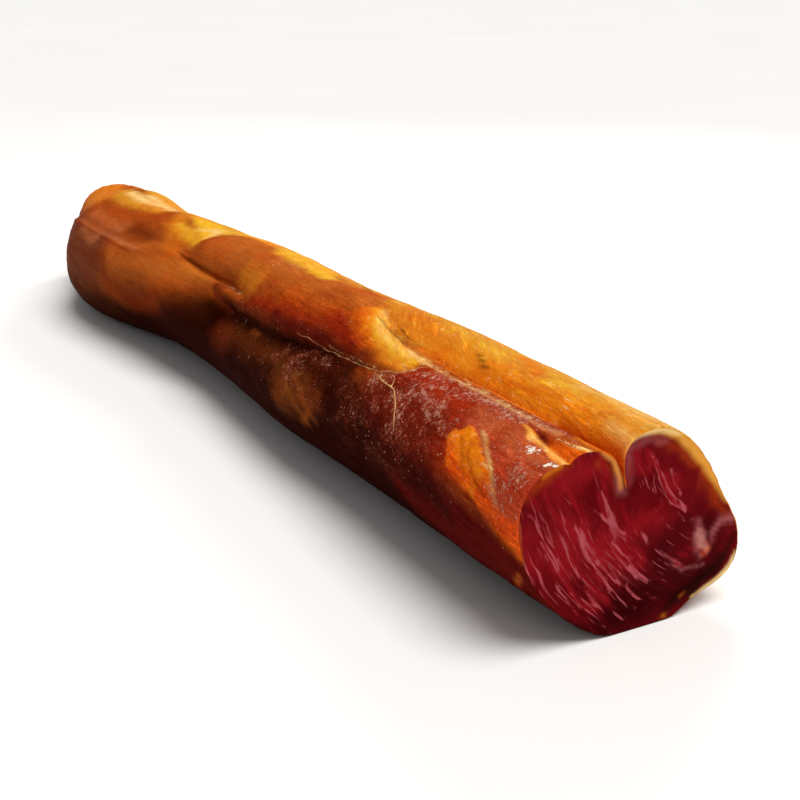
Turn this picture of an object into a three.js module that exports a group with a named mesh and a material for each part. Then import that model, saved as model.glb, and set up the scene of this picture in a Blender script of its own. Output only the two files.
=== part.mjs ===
// A whole cured pork loin with one end cut off, lying on its side.
//
// The loin is one solid. Its skin is a tube of rings: each ring is a round core with a few
// named swellings added and a few named folds pressed in, then the underside is pressed flat
// where the meat lies on the table. One end is the flat cut, the other closes in a blunt cap.
//
// Frame: millimetres, +X from the closed tip towards the cut face, +Z up, table at Z = 0,
// origin under the middle of the bounding box.
import * as THREE from "three";

// Driving dimensions -------------------------------------------------------------------------
const LENGTH = 457; // cut face to closed tip
const CAP = 24; // the last stretch, where the tip closes
const CAP_BLUNTNESS = 2.1; // 2 closes the tip as half an ellipsoid, more is squarer
const TABLE = 1.2; // how far the soft underside is pressed in
const PRESS_BLEND = 0.8; // half height of the soft edge round the pressed strip
const FOLD_SHARPNESS = 1.35; // 1 gives a fold a sharp floor line, 2 a round floor

// The round core. "at" is the distance from the cut face, "side" is towards +Y, the others are
// its radius and the height of its centre before pressing.
const CORE = [
  { at: 0, radius: 25.6, side: 0.3, height: 26.9 },
  { at: 45, radius: 26.6, side: 0.2, height: 28.0 },
  { at: 100, radius: 27.6, side: 0.3, height: 28.2 },
  { at: 160, radius: 27.7, side: -0.2, height: 27.5 },
  { at: 220, radius: 27.4, side: 1.8, height: 28.1 },
  { at: 280, radius: 26.8, side: -1.1, height: 28.9 },
  { at: 330, radius: 28.5, side: -6.6, height: 28.2 },
  { at: 370, radius: 31.0, side: -4.6, height: 27.1 },
  { at: 410, radius: 26.9, side: 3.7, height: 23.9 },
  { at: LENGTH - CAP, radius: 25.6, side: 10.8, height: 24.4 },
];

// Swellings run along the loin. Angles are in degrees round the core from +Y towards +Z,
// "spread" is how far each one reaches below and above its own angle, and "height" is
// how far it stands out. Each list holds pairs of distance from the cut and value.
const SWELLINGS = [
  {
    name: "front shoulder",
    angle: [[0, 155], [60, 156], [120, 167], [200, 174], [300, 165], [370, 136], [LENGTH, 118]],
    height: [[0, 10.8], [45, 9.2], [90, 6], [160, 4], [250, 3], [370, 1.6], [LENGTH, 3.2]],
    spread: [22, 23],
  },
  {
    name: "back heel",
    angle: [[0, 337], [200, 340]],
    height: [[0, 10.3], [45, 9], [100, 8], [160, 7], [220, 6], [280, 5], [LENGTH, 3.4]],
    spread: [15, 19],
  },
  {
    name: "under heel",
    angle: [[0, 297], [90, 290]],
    height: [[0, 2.6], [50, 1.4], [110, 0]],
    spread: [13, 12],
  },
  {
    name: "sagging underside",
    angle: [[0, 268], [200, 270]],
    height: [[0, 1], [60, 1.6], [130, 1.4], [215, 0]],
    spread: [20, 18],
  },
  {
    name: "crown of the back roll",
    angle: [[0, 66], [90, 72]],
    height: [[0, 1.3], [60, 0.6], [120, 0]],
    spread: [22, 20],
  },
  {
    name: "lower flank",
    angle: [[0, 192], [40, 198], [120, 204]],
    height: [[0, 1.7], [36, 2], [66, 0.8], [96, 0]],
    spread: [12, 20],
  },
  {
    name: "upper roll",
    angle: [[70, 122], [130, 119], [200, 114], [260, 108]],
    height: [[60, 0], [105, 3.2], [170, 4.2], [225, 3.6], [262, 1.2], [296, 0]],
    spread: [21, 17],
  },
  {
    name: "flank of the tip",
    angle: [[240, 160], [300, 158], [380, 164]],
    height: [[215, 0], [250, 2.2], [300, 4], [350, 2.4], [390, 0]],
    spread: [13, 20],
  },
  {
    name: "belly of the tip",
    angle: [[300, 206], [430, 202]],
    height: [[290, 0], [350, 2.2], [400, 2.8], [LENGTH - CAP, 2.2]],
    spread: [17, 24],
  },
  {
    name: "ridge over the tip",
    angle: [[278, 137.5], [288, 147.5], [298, 147.5], [317, 144], [362, 145], [400, 146]],
    height: [[268, 0], [286, 0.9], [330, 1.1], [372, 0.9], [404, 0]],
    spread: [2.4, 2],
  },
];

// Folds are pressed in along a path of distance and angle. "depth" runs along the path, and
// "reach" is the half width in mm towards lower and towards higher angles.
const CLEFT = [[0, 106], [20, 109], [45, 112], [75, 113.5], [95, 110], [112, 104], [128, 98], [180, 100]];
const FLAP = [
  [0, 133], [10, 133], [24, 128], [70, 126], [130, 130], [180, 142], [200, 138.5], [216, 137],
  [231, 138], [262, 135], [284, 131],
];
const UNDER_ROLL = [
  [0, 142], [50, 141], [64, 138], [77, 139], [90, 141], [115, 142], [143, 146], [162, 149.5],
  [196, 153], [240, 157], [300, 150],
];
const FOLDS = [
  {
    name: "cleft between the two rolls",
    path: CLEFT,
    depth: [[0, 7], [40, 6.4], [80, 4.8], [105, 2.4], [128, 0]],
    reach: [3.6, 3.4],
  },
  {
    name: "closed slit at the bottom of the cleft",
    path: CLEFT,
    depth: [[0, 6.8], [12, 4.5], [35, 1.6], [70, 0.6], [95, 0]],
    reach: [0.55, 0.55],
  },
  {
    name: "crease under the upper roll",
    path: UNDER_ROLL,
    depth: [[62, 0], [84, 1.8], [104, 3.8], [145, 5.4], [190, 6], [218, 4.4], [244, 0]],
    reach: [1.8, 9],
  },
  {
    name: "fold behind the flap",
    path: FLAP,
    depth: [[186, 0], [196, 3.4], [216, 4.4], [242, 3.6], [264, 1.6], [286, 0]],
    reach: [6, 1.6],
  },
  {
    name: "small fold in the front shoulder",
    path: FLAP,
    depth: [[0, 1.8], [12, 1.4], [26, 0]],
    reach: [1.6, 1.8],
  },
  {
    name: "long crease on the back",
    path: [[30, 22], [110, 14], [200, 24], [290, 12]],
    depth: [[30, 0], [70, 2.2], [130, 3.4], [200, 3], [250, 1.6], [300, 0]],
    reach: [6, 3.4],
  },
  {
    name: "crease low on the back of the tip",
    path: [[270, -38], [340, -30], [400, -40]],
    depth: [[268, 0], [310, 2.4], [350, 2.6], [408, 0]],
    reach: [3.6, 7],
  },
];

// Dents and lumps are round: middle, half length along the loin, half width round it, height.
const DENTS = [
  { name: "hollow below the flap", at: 224, angle: 162, long: 18, wide: 7.5, height: -6 },
  { name: "end of the flap", at: 207, angle: 146, long: 12, wide: 4, height: 3 },
  { name: "hollow beside the tip ridge", at: 303, angle: 134, long: 15, wide: 6, height: -2.4 },
  { name: "flat on top of the tip", at: 352, angle: 118, long: 42, wide: 12, height: -1.8 },
  { name: "saddle behind the neck", at: 268, angle: 98, long: 15, wide: 10, height: -2.2 },
  { name: "flat on the back of the neck", at: 262, angle: -20, long: 30, wide: 14, height: -2.4 },
  { name: "lump on the lower flank", at: 128, angle: 186, long: 26, wide: 10, height: 1.2 },
];

// Rings stand this far apart, in mm, up to each distance from the cut face.
const RING_STRETCHES = [
  { to: 8, step: 4 },
  { to: 60, step: 9.5 },
  { to: 130, step: 7.5 },
  { to: 180, step: 9 },
  { to: 285, step: 6.4 },
  { to: LENGTH - CAP, step: 10 },
];
const CAP_RINGS = 9;

// Columns run along the loin. Three of them follow a fold's floor, so that it stays a clean
// line. "column" is the guide's own angle; near it the columns are "step" degrees apart, and
// each next gap is wider by "growth" for each degree away, up to the coarse step.
const GUIDES = [
  { column: 109, path: CLEFT, step: 1.05, growth: 0.32 },
  { column: 134, path: FLAP, step: 1.3, growth: 0.22 },
  { column: 150, path: UNDER_ROLL, step: 1.3, growth: 0.12 },
];
const COARSE_STEP = 5.6;
const FREE_FROM = 200; // columns between these two angles follow no fold
const FREE_TO = 62 + 360;

const RAD = Math.PI / 180;

// A smooth value at a distance along a list of [distance, value] pairs, held at its ends.
function along(pairs, at) {
  const last = pairs.length - 1;
  if (at <= pairs[0][0]) return pairs[0][1];
  if (at >= pairs[last][0]) return pairs[last][1];
  const i = pairs.findIndex((pair) => pair[0] > at) - 1;
  const slope = (k) => {
    const a = pairs[Math.max(k - 1, 0)];
    const b = pairs[Math.min(k + 1, last)];
    return (b[1] - a[1]) / (b[0] - a[0]);
  };
  const [x0, y0] = pairs[i];
  const [x1, y1] = pairs[i + 1];
  const span = x1 - x0;
  const t = (at - x0) / span;
  const flat = (2 * t ** 3 - 3 * t ** 2 + 1) * y0 + (3 * t ** 2 - 2 * t ** 3) * y1;
  return flat + span * ((t ** 3 - 2 * t ** 2 + t) * slope(i) + (t ** 3 - t ** 2) * slope(i + 1));
}

// The signed turn from one angle to another, within half a turn, in degrees.
const turn = (from, to) => ((((to - from) % 360) + 540) % 360) - 180;

const coreValue = (key, at) => along(CORE.map((station) => [station.at, station[key]]), at);

function swellingHeight(swelling, at, angle) {
  const off = turn(along(swelling.angle, at), angle);
  const spread = swelling.spread[off < 0 ? 0 : 1];
  return along(swelling.height, at) * Math.exp(-((off / spread) ** 2) / 2);
}

// A fold's floor is a sharp line, and its walls ease out into the skin.
function foldDepth(fold, at, angle, radius) {
  const off = turn(along(fold.path, at), angle) * RAD * radius;
  const reach = fold.reach[off < 0 ? 0 : 1];
  const depth = Math.max(along(fold.depth, at), 0);
  return depth * Math.exp(-((Math.abs(off) / reach) ** FOLD_SHARPNESS));
}

function dentHeight(dent, at, angle, radius) {
  const off = turn(dent.angle, angle) * RAD * radius;
  return dent.height * Math.exp(-(((at - dent.at) / dent.long) ** 2 + (off / dent.wide) ** 2));
}

// How far the skin stands from the core's centre line.
function skinRadius(at, angle) {
  const core = coreValue("radius", at);
  const sum = (list, value) => list.reduce((total, item) => total + value(item), 0);
  const swollen = core + sum(SWELLINGS, (s) => swellingHeight(s, at, angle));
  const dented = swollen + sum(DENTS, (d) => dentHeight(d, at, angle, core));
  return dented - sum(FOLDS, (f) => foldDepth(f, at, angle, core));
}

// The share of the full radius that is left inside the cap.
function capShare(at) {
  const into = Math.max(at - (LENGTH - CAP), 0) / CAP;
  return (1 - into ** CAP_BLUNTNESS) ** (1 / CAP_BLUNTNESS);
}

// Height after the table has pressed the underside flat: exact below, soft at the edge.
function pressed(height) {
  const above = height - TABLE;
  if (above <= -PRESS_BLEND) return 0;
  return above >= PRESS_BLEND ? above : (above + PRESS_BLEND) ** 2 / (4 * PRESS_BLEND);
}

// Distances of the rings from the cut face, closer where the folds are and towards the tip.
function ringDistances() {
  const distances = [0];
  for (const { to, step } of RING_STRETCHES) {
    const start = distances[distances.length - 1];
    const count = Math.round((to - start) / step);
    for (let i = 1; i <= count; i++) distances.push(start + ((to - start) * i) / count);
  }
  for (let i = 1; i < CAP_RINGS; i++) {
    distances.push(LENGTH - CAP + CAP * Math.sin((Math.PI / 2) * (i / CAP_RINGS)));
  }
  return distances;
}

// The gap to leave after a column.
function columnStep(angle) {
  const gaps = GUIDES.map((g) => g.step + g.growth * Math.abs(turn(g.column, angle)));
  return Math.min(COARSE_STEP, ...gaps);
}

// Column angles from one guide up to the next, walked and then stretched to end on it.
function bandAngles(from, to) {
  const angles = [from];
  let reached = from;
  while (reached < to) {
    reached += columnStep(reached);
    angles.push(reached);
  }
  const stretch = (to - from) / (reached - from);
  return angles.slice(0, -1).map((angle) => from + (angle - from) * stretch);
}

function columnAngles() {
  return GUIDES.flatMap((guide, i) => {
    const next = i + 1 < GUIDES.length ? GUIDES[i + 1].column : GUIDES[0].column + 360;
    return bandAngles(guide.column, next);
  });
}

// Where a column stands at a distance: the guides lie on their folds, the columns between
// them share the shift, and the free ones stay where they are.
function columnAngle(column, at) {
  const anchors = [
    ...GUIDES.map((guide) => [guide.column, along(guide.path, at)]),
    [FREE_FROM, FREE_FROM],
    [FREE_TO, FREE_TO],
    [GUIDES[0].column + 360, along(GUIDES[0].path, at) + 360],
  ];
  const i = Math.max(anchors.findIndex((anchor) => anchor[0] > column), 1) - 1;
  const [c0, a0] = anchors[i];
  const [c1, a1] = anchors[i + 1];
  return a0 + ((a1 - a0) * (column - c0)) / (c1 - c0);
}

function skinPoint(at, column) {
  const held = Math.min(at, LENGTH - CAP);
  const angle = columnAngle(column, held);
  const radius = skinRadius(held, angle) * capShare(at);
  const y = coreValue("side", held) + radius * Math.cos(angle * RAD);
  const z = coreValue("height", held) + radius * Math.sin(angle * RAD);
  return [LENGTH - at, y, pressed(z)];
}

const skinMaterial = () =>
  new THREE.MeshStandardMaterial({ color: 0x8f3f14, roughness: 0.42, metalness: 0 });

function buildLoin() {
  const distances = ringDistances();
  const columns = columnAngles();
  const count = columns.length;
  const points = distances.flatMap((at) => columns.flatMap((column) => skinPoint(at, column)));
  const faces = [];
  for (let ring = 0; ring + 1 < distances.length; ring++) {
    for (let column = 0; column < count; column++) {
      const next = (column + 1) % count;
      const [a, b] = [ring * count + column, ring * count + next];
      const [c, d] = [a + count, b + count];
      faces.push(a, d, b, a, c, d);
    }
  }
  // The cut face and the tip each close on one point.
  const cutMiddle = points.length / 3;
  points.push(LENGTH, coreValue("side", 0), pressed(coreValue("height", 0)));
  const tip = cutMiddle + 1;
  points.push(0, coreValue("side", LENGTH), pressed(coreValue("height", LENGTH)));
  const lastRing = (distances.length - 1) * count;
  for (let column = 0; column < count; column++) {
    const next = (column + 1) % count;
    faces.push(cutMiddle, column, next);
    faces.push(tip, lastRing + next, lastRing + column);
  }
  const geometry = new THREE.BufferGeometry();
  geometry.setAttribute("position", new THREE.Float32BufferAttribute(points, 3));
  geometry.setIndex(faces);
  geometry.computeVertexNormals();
  const mesh = new THREE.Mesh(geometry, skinMaterial());
  mesh.name = "cured_loin";
  return mesh;
}

// The origin goes under the middle of the bounding box.
function centred(mesh) {
  mesh.geometry.computeBoundingBox();
  const middle = mesh.geometry.boundingBox.getCenter(new THREE.Vector3());
  mesh.geometry.translate(-middle.x, -middle.y, 0);
  return mesh;
}

const loin = new THREE.Group();
loin.add(centred(buildLoin()));

export default loin;
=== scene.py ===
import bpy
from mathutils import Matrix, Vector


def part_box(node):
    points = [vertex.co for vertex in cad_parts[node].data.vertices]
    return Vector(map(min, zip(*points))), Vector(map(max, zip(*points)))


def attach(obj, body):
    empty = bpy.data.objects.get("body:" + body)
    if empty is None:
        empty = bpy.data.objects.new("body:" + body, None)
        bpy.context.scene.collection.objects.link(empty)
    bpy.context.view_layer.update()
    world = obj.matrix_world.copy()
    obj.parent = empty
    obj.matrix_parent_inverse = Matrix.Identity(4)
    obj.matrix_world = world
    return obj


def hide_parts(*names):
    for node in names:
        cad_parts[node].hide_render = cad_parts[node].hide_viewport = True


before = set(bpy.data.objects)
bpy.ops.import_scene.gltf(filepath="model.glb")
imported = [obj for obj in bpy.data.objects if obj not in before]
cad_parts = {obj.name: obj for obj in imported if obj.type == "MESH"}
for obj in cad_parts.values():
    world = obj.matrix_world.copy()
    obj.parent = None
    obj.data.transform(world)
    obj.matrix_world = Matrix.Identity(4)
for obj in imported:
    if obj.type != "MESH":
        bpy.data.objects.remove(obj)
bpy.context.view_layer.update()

import math
from typing import NamedTuple

import bmesh
import bpy
import numpy as np
from bpy.props import FloatProperty, FloatVectorProperty, IntProperty, PointerProperty
from bpy.types import Operator, Panel, PropertyGroup
from mathutils import Vector, noise
from mathutils.bvhtree import BVHTree

bl_info = {
    "name": "Cured pork loin",
    "version": (1, 0, 0),
    "blender": (4, 5, 0),
    "location": "3D View > Sidebar > Cured loin",
    "description": "Builds the skin, cut face, bloom and tissue threads of a cured pork loin",
    "category": "Add Mesh",
}

MM = 0.001
RAD = math.pi / 180
NODE = "cured_loin"
BODY = "root"

LOW, HIGH = (np.array(corner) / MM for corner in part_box(NODE))
LENGTH = HIGH[0] - LOW[0]
CAP = 24.0  # the last stretch, where the tip closes
MERGE_GAP = 1e-6  # metres between corners of the solid's faces that are the same

# The centre line: distance from the cut face, side and height, in mm.
CENTRE_LINE = [
    (0, 0.5, 25.7), (45, 0.4, 26.8), (100, 0.5, 27.0), (160, 0.0, 26.3), (220, 2.0, 26.9),
    (280, -0.9, 27.7), (330, -6.4, 27.0), (370, -4.4, 25.9), (410, 3.9, 22.7), (433, 11.0, 23.2),
]
ROUND = 28.0  # the radius that turns an angle into mm along the skin

# The three long folds that the grid's columns follow, as distance and angle.
CLEFT = [(0, 106), (20, 109), (45, 112), (75, 113.5), (95, 110), (112, 104), (128, 98), (180, 100)]
FLAP = [
    (0, 133), (10, 133), (24, 128), (70, 126), (130, 130), (180, 142), (200, 138.5), (216, 137),
    (231, 138), (262, 135), (284, 131),
]
UNDER_ROLL = [
    (0, 142), (50, 141), (64, 138), (77, 139), (90, 141), (115, 142), (143, 146), (162, 149.5),
    (196, 153), (240, 157), (300, 150),
]


class Guide(NamedTuple):
    """A fold that a column runs along; the gaps beside it are in degrees."""

    column: float
    path: list
    step: float
    growth: float


GUIDES = [
    Guide(109, CLEFT, 0.5, 0.07),
    Guide(134, FLAP, 0.6, 0.04),
    Guide(150, UNDER_ROLL, 0.6, 0.012),
]
COARSE_STEP = 2.4  # widest gap between columns, in degrees
SEEN_FROM, SEEN_TO = 60, 236  # beyond these angles the columns may stand further apart
UNSEEN_COARSER = 2.0
FREE_FROM, FREE_TO = 200, 422  # columns between these two angles follow no fold
RING_STEP = (0.8, 2.3)  # gap between rings at the cut and at the tip
CAP_RINGS = 22
RIM_ROUNDING = [(0.0, 0.34), (0.1, 0.12), (0.32, 0.0)]  # distance and how far the edge is drawn in
FLAT_RINGS = len(RIM_ROUNDING) + 2  # rings by the cut that the relief moves outward alone
FACE_RINGS = 60
FACE_CROWDING = 1.25  # above 1, the cut's rings are closest at the rim
FIRST_RAY = 0.05  # the first rays pass just inside the cut
SAMPLE_STEP = 2.0  # gap between the rays along the loin
SAMPLE_SPREAD = 3.6  # how far each ray's reading is spread, which takes the facets out
SAMPLE_PAD = 8  # readings that are added past each end
JOIN_RINGS = 12  # rings before the cap where the smoothing of the join begins
JOIN_PASSES = 6
TINY = 1e-9

# Where the relief dies out: start and length of the rise from none to all of it.
TABLE_FADE = (0.4, 5)  # mm above the table
POLE_FADE = (0, 8)  # rings from the tip's pole
SLIT_FADE = (0.4, 1.6)  # mm from the floor of the cleft
SLIT_LENGTH = 22  # the relief dies out in the cleft up to this distance
CUT_FADE = (0, 0.06)  # share of the way from the rim to the middle of the cut
CUT_SINK = 0.7  # how far the cut lies below its rim, as a share of its relief


class Lumps(NamedTuple):
    """One layer of noise: its height, the size of its lumps in mm, its seed and octaves."""

    height: float
    size: float
    seed: int
    octaves: int


SEED_SHIFT = (17.3, 5.1, -9.7)  # how far each seed moves the noise
SMOOTHNESS, LACUNARITY = 1.0, 2.0  # of each layer's octaves
# The drift of the marks' ragged edges, along the loin and round it.
EDGE_DRIFT = [
    [Lumps(1.2, 15, 1, 2), Lumps(1.4, 4, 6, 3)],
    [Lumps(1.2, 15, 2, 2), Lumps(1.4, 4, 7, 3)],
]
ROUND_DRIFT = 0.7  # share of the drift that is used round the loin
LEAST_DRIFT = 0.25  # share of the drift that the thinnest marks get
DRIFT_WIDTH = 4  # half width that adds a whole share
SKIN_LUMPS = [Lumps(0.75, 9, 11, 3), Lumps(0.25, 3.2, 12, 2)]
SKIN_STRETCH = (0.45, 1, 1)
FIBRE_LUMPS = [Lumps(0.6, 1.5, 13, 3), Lumps(1.0, 4, 14, 2)]
FIBRE_STRETCH = (0.12, 1, 1)
CUT_LUMPS = [Lumps(1.0, 7, 21, 2), Lumps(0.5, 2.2, 22, 2)]


class Mark(NamedTuple):
    """A streak or band: a run of (place, place, half width) with soft ragged edges."""

    name: str
    path: list
    soft: float = 2.0
    share: float = 1.0
    ragged: float = 1.0


class Stain(NamedTuple):
    """A mark that lays one of the colours."""

    name: str
    tone: str
    path: list
    soft: float = 2.0
    share: float = 1.0
    ragged: float = 1.0


def table(kind, rows):
    """The rows of a table as marks of one kind."""
    return [kind(*row) for row in rows]


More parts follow.
